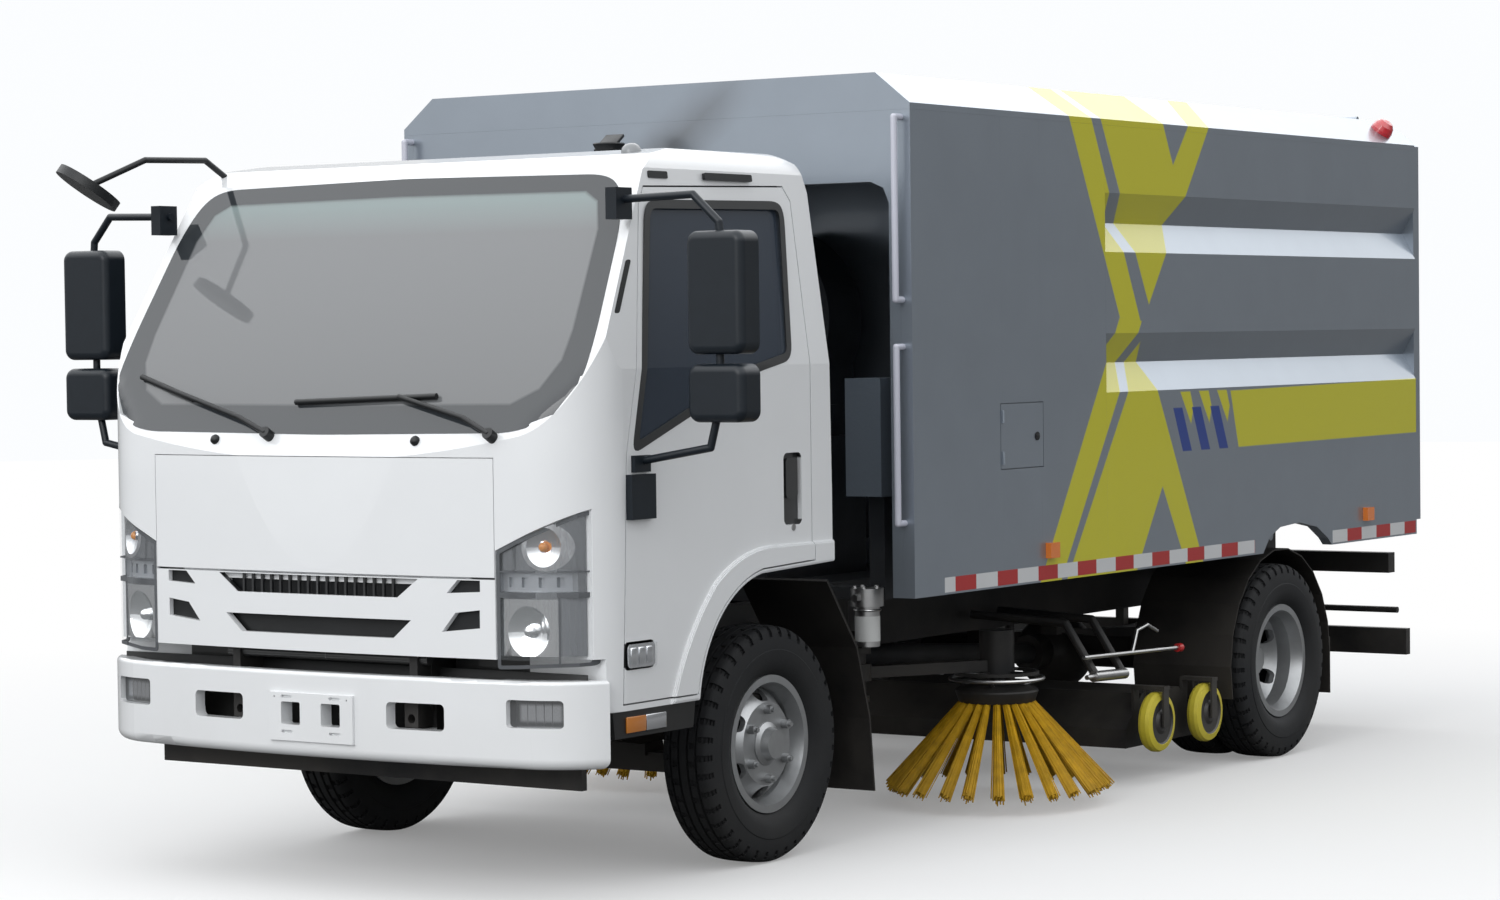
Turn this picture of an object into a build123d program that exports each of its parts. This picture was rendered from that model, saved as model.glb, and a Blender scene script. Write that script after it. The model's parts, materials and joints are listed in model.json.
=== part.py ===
from build123d import *
import os
from math import atan2, cos, hypot, radians, sin, sqrt, tan

os.makedirs("parts", exist_ok=True)

# Frame: the truck drives towards -Y, its left side is +X, the road is z = 0.

# General fits
seat_gap = 0.3          # between pieces that are fixed to each other
panel_gap = 5.0         # shut line round doors and lids
pin_play = 0.3          # round pins and shafts

# Axles and wheels
wheelbase = 3360
front_axle_y = -1695
rear_axle_y = front_axle_y + wheelbase
tyre_radius = 382
tyre_width = 196
rim_seat_radius = 203
rim_flange_radius = 222
rim_width = 152
wheel_z = tyre_radius
front_tyre_x = 768
rear_inner_tyre_x = 716
rear_twin_pitch = 226
kingpin_x = 612
kingpin_radius = 16
hub_radius = 70
spindle_radius = 30
front_mount = 62
front_dish = 5
disc_flat = 134
disc_edge = 187
hand_holes = (158, 6, 62, 42)   # radius of their ring, number, length, width
nut_ring = 111
nut_radius = 15
nut_height = 26
front_hub_inner = -78
front_hub_outer = 100
rear_hub_inner = 225
rear_hub_outer = 95
spring_x = 345
spring_width = 70
spring_thickness = 36
spring_pad = 70

# Chassis rails
rail_outer_x = 375
rail_flange = 62
rail_height = 205
rail_top_z = 780
rail_plate = 8
rail_front_y = front_axle_y - 1130
rail_rear_y = rear_axle_y + 1130
engine_half_width = 270
engine_top_z = 900
radiator_half = 272
radiator_low = 540
radiator_high = 900
lamp_beam_half = 1000
lamp_beam_z = 745

# Cab: distances are from the front axle unless the name says otherwise
cab_half_width = 985
cab_wall = 45
cab_front = 1230
cab_rear = 165
cab_bottom_z = 745
footwell_z = 585
arch_top_z = 965
roof_z = 2275
belt_z = 1600
roof_half_width = 905
lid_half_width = 680
lid_bottom_z = 985
lid_top_z = 1343
lid_thickness = 22
grille_mouth = 375
lamp_depth = 62
lens_thickness = 4
glass_inset = 5
glass_thickness = 6
door_front = 985
door_rear = 48
door_bottom_z = 602
tunnel_half_width = 400
tunnel_top_z = 962
column_x = 450
steering_radius = 205
cab_pivot_y = front_axle_y - 1170
cab_pivot_z = 730
cab_pin_radius = 16
flare_proud = 12
flare_line = [(-745, footwell_z), (-655, 765), (-510, 935), (-355, 1010), (-155, 1033)]
door_handle_y = -63
door_handle_z = 1207
handle_pocket_depth = 16
mirror_inner_x = 1170
mirror_outer_x = 1372
mirror_front = 905
mirror_rear = 812
mirror_heads = ((1640, 2003), (1440, 1612))
mirror_tube = 12
lamp_strip = (946, 1002)
lamp_bowls = ((834, -1176, 1079, 70, 36, 0.45), (782, -1190, 829, 86, 40, 0.26))
lamp_slots = (719, 763, 815, 863)

# Bumper
bumper_front = 1252
bumper_half_width = 990
bumper_wall = 42
bumper_bottom_z = 420
bumper_top_z = 684
tow_front = cab_pivot_y - 24
tow_rear = cab_pivot_y + 102
tow_x = 345
tow_z = 552
tow_bore = 14
tow_wall = 12
plate_hole_x = 145
plate_hole_z = 604
plate_hole_radius = 3
fog_inner = 716
fog_outer = 892
fog_low = 545
fog_high = 628
fog_corner = 12
bumper_lower_roll = 32
bumper_upper_roll = 12

# Hopper body
box_front = 530
box_split = 1855
box_rear = 4560
box_half_width = 1070
box_bottom_z = 820
box_roof_z = 2555
roof_chamfer_x = 133
roof_chamfer_z = 105
box_wall = 42
groove_depth = 59
groove_half_height = 106
groove_upper_z = 2081
groove_lower_z = 1577
hopper_floor_z = 932
hopper_floor = 40
bulkhead_y = front_axle_y + 1800
front_wall = 45
bay_half_width = box_half_width - 85
bay_top_z = 2195
bay_corner = 70
tip_pivot_y = front_axle_y + 4545
tip_pivot_z = 800
tip_pin_radius = 22
tip_bracket = 26
hinge_y = front_axle_y + 4566
hinge_z = 2570
rear_door_bottom_z = 880
rear_door_thickness = 58
beam_z = rail_top_z + seat_gap

# Lift cylinders
lift_x = 470
lift_low_y = front_axle_y + 4200
lift_low_z = 600
lift_high_y = front_axle_y + 3480
lift_high_z = 845
barrel_radius = 50
rod_radius = 32
lift_pin_radius = 18
barrel_share = 0.74

# Sweeping gear
broom_x = 745
broom_y = front_axle_y + 1610
broom_top_z = 430
broom_plate_radius = 150
broom_tip_radius = 408
broom_tip_z = 48
tuft_count = 24
arm_pivot_x = 455
arm_pivot_y = front_axle_y + 1140
arm_post_radius = 28
arm_bracket_low = 590
arm_bracket_high = 650
nozzle_front = 2290
nozzle_rear = 2850
nozzle_half_width = 900
nozzle_bottom_z = 135
nozzle_top_z = 330
caster_x = 985
caster_radius = 112
caster_width = 55
caster_rows = (2376, 2768)
caster_z = 232
caster_bridge_z = 352
broom_drop = 45
arm_low = 470
arm_high = 530
guide_x = 285
guide_y = front_axle_y + 2500
guide_radius = 18
duct_x = 390 - box_half_width
duct_y = front_axle_y + 2560
duct_radius = 118
duct_wall = 5
duct_play = 6


def fa(distance):
    """Y of a point that lies this far behind the front axle."""
    return front_axle_y + distance


def block(x0, x1, y0, y1, z0, z1, mode=Mode.ADD):
    """An upright block between its six limits."""
    with Locations(((x0 + x1) / 2, (y0 + y1) / 2, (z0 + z1) / 2)):
        Box(abs(x1 - x0), abs(y1 - y0), abs(z1 - z0), mode=mode)


def bar(start, end, radius, mode=Mode.ADD):
    """A round bar between two points."""
    run = Vector(*end) - Vector(*start)
    with Locations(Plane(origin=start, z_dir=run).location):
        Cylinder(radius, run.length, align=(Align.CENTER, Align.CENTER, Align.MIN), mode=mode)


def bent_bar(points, radius):
    """Round bars along a broken line, with a ball at each bend."""
    for start, end in zip(points, points[1:]):
        bar(start, end, radius)
    for corner in points[1:-1]:
        with Locations(corner):
            Sphere(radius)


def side_prism(points, x0, x1, mode=Mode.ADD):
    """A polygon of (y, z) points, from x0 to x1."""
    with BuildSketch(Plane.YZ.offset(x0)) as section:
        with BuildLine():
            Polyline(*points, close=True)
        make_face()
    extrude(section.sketch, amount=x1 - x0, mode=mode)


def front_prism(points, y0, y1, mode=Mode.ADD):
    """A polygon of (x, z) points, from y0 back to y1."""
    with BuildSketch(Plane.XZ.offset(-y0)) as section:
        with BuildLine():
            Polyline(*points, close=True)
        make_face()
    extrude(section.sketch, amount=y0 - y1, mode=mode)


def plan_prism(points, z0, z1, mode=Mode.ADD):
    """A polygon of (x, y) points, from z0 up to z1."""
    with BuildSketch(Plane.XY.offset(z0)) as section:
        with BuildLine():
            Polyline(*points, close=True)
        make_face()
    extrude(section.sketch, amount=z1 - z0, mode=mode)


def turned(points, origin, direction, mode=Mode.ADD):
    """A ring turned about an axis from (distance along it, radius) points."""
    across = (1, 0, 0) if direction[1] else (0, 1, 0)
    with BuildSketch(Plane(origin=origin, x_dir=direction, z_dir=across)) as section:
        with BuildLine():
            Polyline(*points, close=True)
        make_face()
    revolve(section.sketch, axis=Axis(origin, direction), mode=mode)


def save(builder, label):
    """Label a finished piece and write it out."""
    builder.part.label = label
    export_step(builder.part, f"parts/{label}.step")


def side_name(sign):
    """left is +X, right is -X."""
    return "left" if sign > 0 else "right"


# Wheels
def tyre_at(x, y):
    """A tyre with rounded shoulders about its axle."""
    half = tyre_width / 2
    bead = rim_width / 2 - 8 - seat_gap
    seat = rim_seat_radius + seat_gap
    lip = rim_flange_radius + 2
    section = [(-bead, seat), (-bead, lip), (-half, lip + 46), (-half, tyre_radius - 62),
               (-half + 14, tyre_radius - 16), (-half + 34, tyre_radius), (half - 34, tyre_radius),
               (half - 14, tyre_radius - 16), (half, tyre_radius - 62), (half, lip + 46), (bead, lip), (bead, seat)]
    turned(section, (x, y, wheel_z), (1, 0, 0))


def rim_at(x, y, face, mount, dish):
    """A steel rim; mount and dish say how far the disc lies towards face at its middle and its edge."""
    half = rim_width / 2
    lip = half - 8
    drop = rim_seat_radius - 22
    inner = rim_seat_radius - 5
    barrel = [(-half, rim_flange_radius), (-lip, rim_flange_radius), (-lip, rim_seat_radius),
              (lip, rim_seat_radius), (lip, rim_flange_radius), (half, rim_flange_radius),
              (half, inner), (half * 0.4, drop), (-half * 0.4, drop), (-half, inner)]
    turned(barrel, (x, y, wheel_z), (1, 0, 0))
    lean = 6 if mount > dish else -6
    disc = [(mount, hub_radius - 5), (mount, disc_flat), (dish, disc_edge), (dish, drop + 8),
            (dish - 12, drop + 8), (dish - 12, disc_edge - lean), (mount - 14, disc_flat - lean),
            (mount - 14, hub_radius - 5)]
    turned(disc, (x, y, wheel_z), (face, 0, 0))
    ring, number, length, width = hand_holes
    with BuildSketch(Plane(origin=(x + face * (mount + dish) / 2, y, wheel_z), z_dir=(face, 0, 0))) as holes:
        with PolarLocations(ring, number):
            SlotOverall(length, width, rotation=90)
    extrude(holes.sketch, amount=1.5 * abs(mount - dish) + 30, both=True, mode=Mode.SUBTRACT)


def nuts_at(x, y, face, mount):
    """Wheel nuts with their studs, on the flat of a disc."""
    with Locations(Plane(origin=(x + face * (mount - 2), y, wheel_z), z_dir=(face, 0, 0)).location):
        with PolarLocations(nut_ring, hand_holes[1]):
            Cylinder(nut_radius, nut_height, align=(Align.CENTER, Align.CENTER, Align.MIN))
            Cylinder(nut_radius * 0.55, nut_height + 10, align=(Align.CENTER, Align.CENTER, Align.MIN))


def hub_at(x, y, face, inner, outer):
    """A wheel hub from inner to outer along face, bored for its spindle, closed by a cap."""
    core = spindle_radius + pin_play
    shape = [(inner, core), (inner, hub_radius), (outer - 34, hub_radius), (outer - 26, hub_radius - 16),
             (outer, hub_radius - 24), (outer, 0), (outer - 14, 0), (outer - 14, core)]
    turned(shape, (x, y, wheel_z), (face, 0, 0))


for sign in (1, -1):
    side = side_name(sign)
    with BuildPart() as tyre_front:
        tyre_at(sign * front_tyre_x, front_axle_y)
    save(tyre_front, f"tyre_front_{side}")

    with BuildPart() as rim_front:
        rim_at(sign * front_tyre_x, front_axle_y, sign, front_mount, front_dish)
        nuts_at(sign * front_tyre_x, front_axle_y, sign, front_mount)
        hub_at(sign * front_tyre_x, front_axle_y, sign, front_hub_inner, front_hub_outer)
    save(rim_front, f"rim_front_{side}")

    outer_x = rear_inner_tyre_x + rear_twin_pitch
    twin_middle = rear_inner_tyre_x + rear_twin_pitch / 2
    with BuildPart() as tyres_rear:
        tyre_at(sign * rear_inner_tyre_x, rear_axle_y)
        tyre_at(sign * outer_x, rear_axle_y)
    save(tyres_rear, f"tyres_rear_{side}")

    with BuildPart() as rims_rear:
        rim_at(sign * outer_x, rear_axle_y, sign, twin_middle - outer_x + 14, -18)
        nuts_at(sign * outer_x, rear_axle_y, sign, twin_middle - outer_x + 14)
        rim_at(sign * rear_inner_tyre_x, rear_axle_y, -sign, rear_inner_tyre_x - twin_middle + 14, -18)
        hub_at(sign * twin_middle, rear_axle_y, sign, -rear_hub_inner, rear_hub_outer)
    save(rims_rear, f"rims_rear_{side}")

# Front axle: dropped beam, kingpin eyes and leaf springs
def leaf_spring(y, low_z, half_length, rise):
    """A pair of leaf springs under the rails, resting on the axle at low_z."""
    rail_low = rail_top_z - rail_height
    top = low_z + spring_thickness
    section = [(y - half_length, top + rise), (y - half_length / 2, top + rise * 0.32), (y, top),
               (y + half_length / 2, top + rise * 0.32), (y + half_length, top + rise),
               (y + half_length, top + rise - 14), (y + half_length / 2, top + rise * 0.32 - 28),
               (y + spring_pad, low_z), (y - spring_pad, low_z), (y - half_length / 2, top + rise * 0.32 - 28),
               (y - half_length, top + rise - 14)]
    for sign in (1, -1):
        start = sign * (spring_x - spring_width / 2)
        side_prism(section, start, start + sign * spring_width)
        for end in (-1, 1):
            eye_y = y + end * half_length
            block(start, start + sign * spring_width, eye_y - 22, eye_y + 22, top + rise - 26, rail_low - seat_gap)


kingpin_low = wheel_z - 78
kingpin_high = wheel_z + 78
eye_half = 40
beam_top = wheel_z - 14
with BuildPart() as front_axle:
    beam = [(-kingpin_x + 30, beam_top + 30), (-kingpin_x + 110, beam_top - 34), (kingpin_x - 110, beam_top - 34),
            (kingpin_x - 30, beam_top + 30), (kingpin_x - 30, beam_top - 22), (kingpin_x - 120, beam_top - 96),
            (-kingpin_x + 120, beam_top - 96), (-kingpin_x + 30, beam_top - 22)]
    front_prism(beam, front_axle_y - 38, front_axle_y + 38)
    block(-spring_x - 40, spring_x + 40, front_axle_y - 52, front_axle_y + 52, beam_top - 44, beam_top - 4)
    leaf_spring(front_axle_y, beam_top - 4, 600, 108)
    for sign in (1, -1):
        eye = (sign * kingpin_x, front_axle_y, wheel_z - eye_half)
        bar(eye, (sign * kingpin_x, front_axle_y, wheel_z + eye_half), 36)
        bar(eye, (sign * kingpin_x, front_axle_y, wheel_z + eye_half), kingpin_radius + pin_play, Mode.SUBTRACT)
save(front_axle, "front_axle")

# Knuckles: forked yokes round the kingpins, with spindles and steering arms
tie_rod_y = front_axle_y + 165
tie_rod_x = kingpin_x - 22
tie_rod_z = wheel_z - 62
for sign in (1, -1):
    with BuildPart() as knuckle:
        bar((sign * kingpin_x, front_axle_y, kingpin_low), (sign * kingpin_x, front_axle_y, kingpin_high), kingpin_radius)
        for low, high in ((kingpin_low, wheel_z - eye_half - 4), (wheel_z + eye_half + 4, kingpin_high)):
            bar((sign * kingpin_x, front_axle_y, low), (sign * kingpin_x, front_axle_y, high), 34)
            block(sign * kingpin_x, sign * (kingpin_x + 62), front_axle_y - 34, front_axle_y + 34, low, high)
        block(sign * (kingpin_x + 42), sign * (kingpin_x + 66), front_axle_y - 48, front_axle_y + 48,
              kingpin_low, kingpin_high)
        bar((sign * (kingpin_x + 60), front_axle_y, wheel_z),
            (sign * (front_tyre_x + front_hub_outer - 18), front_axle_y, wheel_z), spindle_radius)
        plan_prism([(sign * (kingpin_x + 40), front_axle_y + 20), (sign * (kingpin_x + 60), front_axle_y + 60),
                    (sign * (tie_rod_x + 22), tie_rod_y + 24), (sign * (tie_rod_x - 20), tie_rod_y + 24),
                    (sign * (tie_rod_x - 20), tie_rod_y - 20)], kingpin_low, kingpin_low + 20)
    save(knuckle, f"knuckle_{side_name(sign)}")

with BuildPart() as tie_rod:
    for sign in (1, -1):
        bar((sign * tie_rod_x, tie_rod_y, kingpin_low - 34), (sign * tie_rod_x, tie_rod_y, kingpin_low - seat_gap), 20)
    bar((-tie_rod_x, tie_rod_y, kingpin_low - 18), (tie_rod_x, tie_rod_y, kingpin_low - 18), 14)
save(tie_rod, "tie_rod")

# Rear axle: housing with its differential, spindles and leaf springs
axle_reach = rear_inner_tyre_x - tyre_width / 2 - 22
with BuildPart() as rear_axle:
    bar((-axle_reach, rear_axle_y, wheel_z), (axle_reach, rear_axle_y, wheel_z), 58)
    with Locations((0, rear_axle_y, wheel_z)):
        Sphere(158)
    bar((0, rear_axle_y - 230, wheel_z + 8), (0, rear_axle_y, wheel_z + 8), 72)
    spindle_end = rear_inner_tyre_x + rear_twin_pitch / 2 + rear_hub_outer - 18
    bar((-spindle_end, rear_axle_y, wheel_z), (spindle_end, rear_axle_y, wheel_z), spindle_radius)
    block(-spring_x - 40, spring_x + 40, rear_axle_y - 60, rear_axle_y + 60, wheel_z + 20, wheel_z + 76)
    leaf_spring(rear_axle_y, wheel_z + 76, 640, 42)
save(rear_axle, "rear_axle")

# Chassis frame: C-section rails, cross members, brackets and the lamp beam
rail_low_z = rail_top_z - rail_height
with BuildPart() as chassis_frame:
    for sign in (1, -1):
        inner_web = sign * (rail_outer_x - rail_plate)
        outer_web = sign * rail_outer_x
        inner_edge = sign * (rail_outer_x - rail_flange)
        block(inner_web, outer_web, rail_front_y, rail_rear_y, rail_low_z, rail_top_z)
        for low in (rail_low_z, rail_top_z - rail_plate):
            block(inner_edge, outer_web, rail_front_y, rail_rear_y, low, low + rail_plate)
        block(sign * (rail_outer_x - 34), sign * (rail_outer_x - 4), cab_pivot_y - 24, rail_front_y + 60,
              rail_low_z + 20, cab_pivot_z + 34)
        block(sign * (rail_outer_x - 14), sign * (rail_outer_x + 8), cab_pivot_y + 50, rail_front_y + 60,
              bumper_bottom_z + 20, rail_low_z + 90)
        bar((sign * rail_outer_x, lift_low_y, lift_low_z), (sign * (lift_x + 55), lift_low_y, lift_low_z),
            lift_pin_radius)
        block(sign * rail_outer_x, sign * (rail_outer_x + 26), lift_low_y - 60, lift_low_y + 60,
              rail_low_z, rail_low_z + 90)
        block(sign * (guide_x - 30), sign * (rail_outer_x - rail_plate), guide_y - 40, guide_y + 40,
              rail_low_z + rail_plate, rail_low_z + 66)
        block(sign * rail_outer_x, sign * (arm_pivot_x + 46), arm_pivot_y - 46, arm_pivot_y + 46,
              arm_bracket_low, arm_bracket_high)
        block(sign * (rail_outer_x + 2), sign * (rail_outer_x + tip_bracket), tip_pivot_y - 130, tip_pivot_y + 46,
              rail_top_z - 120, tip_pivot_z + 40)
        block(sign * (rail_outer_x - 2), sign * (rail_outer_x + 10), tip_pivot_y - 130, rail_rear_y,
              rail_top_z - 120, rail_top_z - 20)
    between = rail_outer_x - rail_plate - seat_gap
    for place in (-1035, 760, 1500, 2280, 2860, 3760, 4390):
        block(-between, between, fa(place) - 30, fa(place) + 30, rail_top_z - 140, rail_top_z - 20)
    block(-between, between, rail_rear_y - 62, rail_rear_y, lamp_beam_z - 84, lamp_beam_z)
    for sign in (1, -1):
        block(sign * (rail_outer_x + tip_bracket + seat_gap), sign * lamp_beam_half, rail_rear_y - 62, rail_rear_y,
              lamp_beam_z - 84, lamp_beam_z)
        block(sign * (tow_x - tow_bore - tow_wall), sign * (tow_x + tow_bore + tow_wall), tow_front, tow_rear,
              tow_z - tow_bore - tow_wall, rail_low_z + 30)
        bar((sign * tow_x, tow_front - 10, tow_z), (sign * tow_x, tow_rear + 10, tow_z), tow_bore, Mode.SUBTRACT)
        bar((sign * (rail_outer_x - 80), cab_pivot_y, cab_pivot_z), (sign * rail_outer_x, cab_pivot_y, cab_pivot_z),
            cab_pin_radius + pin_play, Mode.SUBTRACT)
        bar((sign * guide_x, guide_y, rail_low_z), (sign * guide_x, guide_y, rail_low_z + 90),
            guide_radius + pin_play, Mode.SUBTRACT)
        bar((sign * arm_pivot_x, arm_pivot_y, arm_bracket_low - 5), (sign * arm_pivot_x, arm_pivot_y, arm_bracket_high + 5),
            arm_post_radius + pin_play, Mode.SUBTRACT)
        bar((sign * (rail_outer_x + 1), tip_pivot_y, tip_pivot_z), (sign * (rail_outer_x + 40), tip_pivot_y, tip_pivot_z),
            tip_pin_radius + pin_play, Mode.SUBTRACT)
save(chassis_frame, "chassis_frame")

# Driveline: radiator, engine, gearbox and propeller shaft
with BuildPart() as driveline:
    block(-radiator_half, radiator_half, fa(-1005) + seat_gap, fa(-940), radiator_low, radiator_high)
    for fin in range(9):
        height = radiator_low + 30 + fin * (radiator_high - radiator_low - 60) / 8
        block(-radiator_half - 8, radiator_half + 8, fa(-990), fa(-955), height - 5, height + 5)
    bar((0, fa(-941), 705), (0, fa(-899), 705), 210)
    block(-engine_half_width, engine_half_width, fa(-900), fa(-140), 470, engine_top_z)
    bar((0, fa(-140), 600), (0, fa(180), 600), 190)
    bar((0, fa(180), 590), (0, fa(560), 590), 120)
    bar((0, fa(560), 585), (0, rear_axle_y - 234, wheel_z + 8), 42)
    for sign in (1, -1):
        block(sign * engine_half_width, sign * (rail_outer_x - rail_plate - seat_gap), fa(-600), fa(-520), 640, 700)
save(driveline, "driveline")

# Bumper: a curved plan, rolled edges, tow slots, lamp pockets and the plate's bracket
bumper_side_y = -bumper_front + 192


def bumper_plan(inset, low, high):
    """The bumper's curved plan, filled back to its ends, at this inset."""
    half = bumper_half_width - inset
    front = -bumper_front + inset
    with BuildPart() as plan:
        with BuildSketch(Plane.XY.offset(low)) as outline:
            with BuildLine():
                ThreePointArc((-half + 190, fa(front + 58)), (0, fa(front)), (half - 190, fa(front + 58)))
                ThreePointArc((half - 190, fa(front + 58)), (half - 85, fa(front + 104)), (half, fa(bumper_side_y)))
                Line((half, fa(bumper_side_y)), (-half, fa(bumper_side_y)))
                ThreePointArc((-half, fa(bumper_side_y)), (-half + 85, fa(front + 104)), (-half + 190, fa(front + 58)))
            make_face()
        extrude(outline.sketch, amount=high - low)
    return plan.part


def rounded_cut(middle_x, middle_z, width, height, radius, front, depth):
    """A pocket with rounded corners, cut back from front."""
    with BuildSketch(Plane.XZ.offset(-fa(front))) as opening:
        with Locations((middle_x, middle_z)):
            RectangleRounded(width, height, radius)
    extrude(opening.sketch, amount=-depth, mode=Mode.SUBTRACT)


with BuildPart() as front_bumper:
    add(bumper_plan(0, bumper_bottom_z, bumper_top_z))
    for level, radius in ((bumper_bottom_z, bumper_lower_roll), (bumper_top_z, bumper_upper_roll)):
        rolled = [edge for edge in front_bumper.edges()
                  if abs(edge.center().Z - level) < 1 and edge.center().Y < fa(bumper_side_y) - 1]
        fillet(rolled, radius)
    add(bumper_plan(bumper_wall, bumper_bottom_z - 5, bumper_top_z + 5), mode=Mode.SUBTRACT)
    for sign in (1, -1):
        rounded_cut(sign * 394, 565, 212, 81, 16, -bumper_front - 20, 110)
        rounded_cut(sign * (fog_inner + fog_outer) / 2, (fog_low + fog_high) / 2, fog_outer - fog_inner,
                    fog_high - fog_low, fog_corner, -bumper_front - 20, 200)
        block(sign * (rail_outer_x - 14), sign * (rail_outer_x + 8), fa(-bumper_front + 36), cab_pivot_y + 50 - seat_gap,
              bumper_bottom_z + 40, tow_z - 32)
    block(-168, 168, fa(-bumper_front - 8), fa(-bumper_front + 20), 470, 618)
    for sign in (1, -1):
        rounded_cut(sign * 80, 555, 76, 70, 6, -bumper_front - 20, 100)
        for level in (498, 606):
            rounded_cut(sign * 96, level, 44, 9, 4, -bumper_front - 20, 24)
        bar((sign * plate_hole_x, fa(-bumper_front - 20), plate_hole_z),
            (sign * plate_hole_x, fa(-bumper_front + 80), plate_hole_z), plate_hole_radius, Mode.SUBTRACT)
save(front_bumper, "front_bumper")

# Road lamps: fog lamps in the bumper and tail lamps on the rear beam
def fog_lamp_of(sign):
    """A fog lamp that fills its pocket in the bumper, set back from the face."""
    inner, outer = fog_inner + seat_gap, fog_outer - seat_gap
    with BuildPart() as lamp:
        plan_prism([(sign * inner, fa(-bumper_front + 66)), (sign * outer, fa(-bumper_front + 118)),
                    (sign * outer, fa(-bumper_front + 154)), (sign * inner, fa(-bumper_front + 92))],
                   fog_low + seat_gap, fog_high - seat_gap)
        fillet(lamp.edges().filter_by(lambda edge: abs(edge.center().Z - (fog_low + fog_high) / 2) > 30
                                      and abs(edge.tangent_at(0.5).X) < 0.01), fog_corner - seat_gap)
    return lamp.part


with BuildPart() as road_lamps:
    for sign in (1, -1):
        add(fog_lamp_of(sign))
        block(sign * 650, sign * 960, rail_rear_y + seat_gap, rail_rear_y + 34, lamp_beam_z - 78, lamp_beam_z - 6)
save(road_lamps, "road_lamps")

# Underrun guards: a plate under the bumper and two bars at the tail
with BuildPart() as underrun_guards:
    block(-845, 845, fa(-1010), fa(-985), 342, 440)
    for sign in (1, -1):
        block(sign * (rail_outer_x + seat_gap), sign * (rail_outer_x + 14), fa(-1040), fa(-960), 400, rail_low_z + 60)
        block(sign * 290, sign * 330, rail_rear_y + seat_gap, fa(4535), 315, lamp_beam_z)
    block(-1030, 1030, fa(4535), fa(4575), 310, 420)
    bar((-1000, fa(4518), 500), (1000, fa(4518), 500), 13)
save(underrun_guards, "underrun_guards")

# Mudguards: one behind each front wheel, one over each rear pair
with BuildPart() as mudguards:
    for sign in (1, -1):
        front_guard = [(250, 890), (425, 660), (500, 420), (525, 175), (533, 175), (508, 424), (433, 665), (258, 896)]
        side_prism([(fa(y), z) for y, z in front_guard], sign * 560, sign * 905)
        block(sign * (rail_outer_x + seat_gap), sign * 600, fa(424), fa(440), 650, 690)
        reach = tyre_radius + 58
        outer_ring = []
        for step in range(13):
            angle = radians(195 - step * 16.25)
            outer_ring.append((rear_axle_y + reach * cos(angle), wheel_z + reach * sin(angle)))
        inner_ring = [(y, z) for y, z in outer_ring]
        skin = [(rear_axle_y + (y - rear_axle_y) * 1.012, wheel_z + (z - wheel_z) * 1.012) for y, z in reversed(outer_ring)]
        side_prism(inner_ring + skin, sign * 600, sign * 1022)
        block(sign * 610, sign * 1022, rear_axle_y + reach - 2, rear_axle_y + reach + 6, 215, wheel_z + 60)
        bar((sign * (rail_outer_x + seat_gap), rear_axle_y + 316, 684), (sign * 610, rear_axle_y + 316, 684), 16)
save(mudguards, "mudguards")

# Cab volumes: a side outline, a plan outline and a front outline met together
def cab_volume(inset, side_points, arch_points):
    """Side outline extruded across, then trimmed to the plan and front outlines at this inset."""
    half = cab_half_width - inset
    front = -cab_front + inset
    with BuildPart() as volume:
        with BuildSketch(Plane.YZ.offset(-half)):
            with BuildLine():
                Polyline(*[(fa(y), z) for y, z in side_points])
                ThreePointArc(*[(fa(y), z) for y, z in arch_points])
            make_face()
        extrude(amount=2 * half)
        with BuildSketch(Plane.XY):
            with BuildLine():
                Line((-half, fa(cab_rear - inset)), (half, fa(cab_rear - inset)))
                Line((half, fa(cab_rear - inset)), (half, fa(front + 262)))
                ThreePointArc((half, fa(front + 262)), (half - 62, fa(front + 115)), (half - 228, fa(front + 34)))
                ThreePointArc((half - 228, fa(front + 34)), (0, fa(front)), (-half + 228, fa(front + 34)))
                ThreePointArc((-half + 228, fa(front + 34)), (-half + 62, fa(front + 115)), (-half, fa(front + 262)))
                Line((-half, fa(front + 262)), (-half, fa(cab_rear - inset)))
            make_face()
        extrude(amount=roof_z + 100, mode=Mode.INTERSECT)
        with BuildSketch(Plane.XZ.offset(-fa(cab_rear + 100))):
            with BuildLine():
                upper = roof_half_width - inset
                top = roof_z - inset
                Polyline((-upper, top - 70), (-half, belt_z), (-half, 0), (half, 0), (half, belt_z), (upper, top - 70))
                ThreePointArc((upper, top - 70), (upper - 28, top - 26), (upper - 95, top))
                Line((upper - 95, top), (-upper + 95, top))
                ThreePointArc((-upper + 95, top), (-upper + 28, top - 26), (-upper, top - 70))
            make_face()
        extrude(amount=cab_front + cab_rear + 400, mode=Mode.INTERSECT)
    return volume.part


def cab_outline(inset):
    """Side outline of the cab at this inset, without the wheel arch."""
    lean = inset * 0.55
    return [(-600 - inset, footwell_z + inset), (-1045 + inset, footwell_z + inset), (-1045 + inset, cab_bottom_z + inset),
            (-cab_front + inset, cab_bottom_z + inset), (-cab_front + inset, 1000), (-cab_front + 6 + inset, lid_top_z),
            (-1192 + inset, 1412 - lean * 0.5), (-742 + inset, 2200 - lean), (-660 + inset, 2252 - inset),
            (-500, roof_z - inset), (40, roof_z - inset), (120 - inset, 2240 - inset * 0.6), (150 - inset, 2150),
            (cab_rear - inset, 1200), (cab_rear - inset, arch_top_z + inset), (-250, arch_top_z - 15 + inset)]


def arch_line(inset):
    """The three points of the wheel arch's front curve at this inset."""
    return [(-250, arch_top_z - 15 + inset), (-495 - inset * 0.75, 815 + inset * 0.7), (-600 - inset, footwell_z + inset)]


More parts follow.
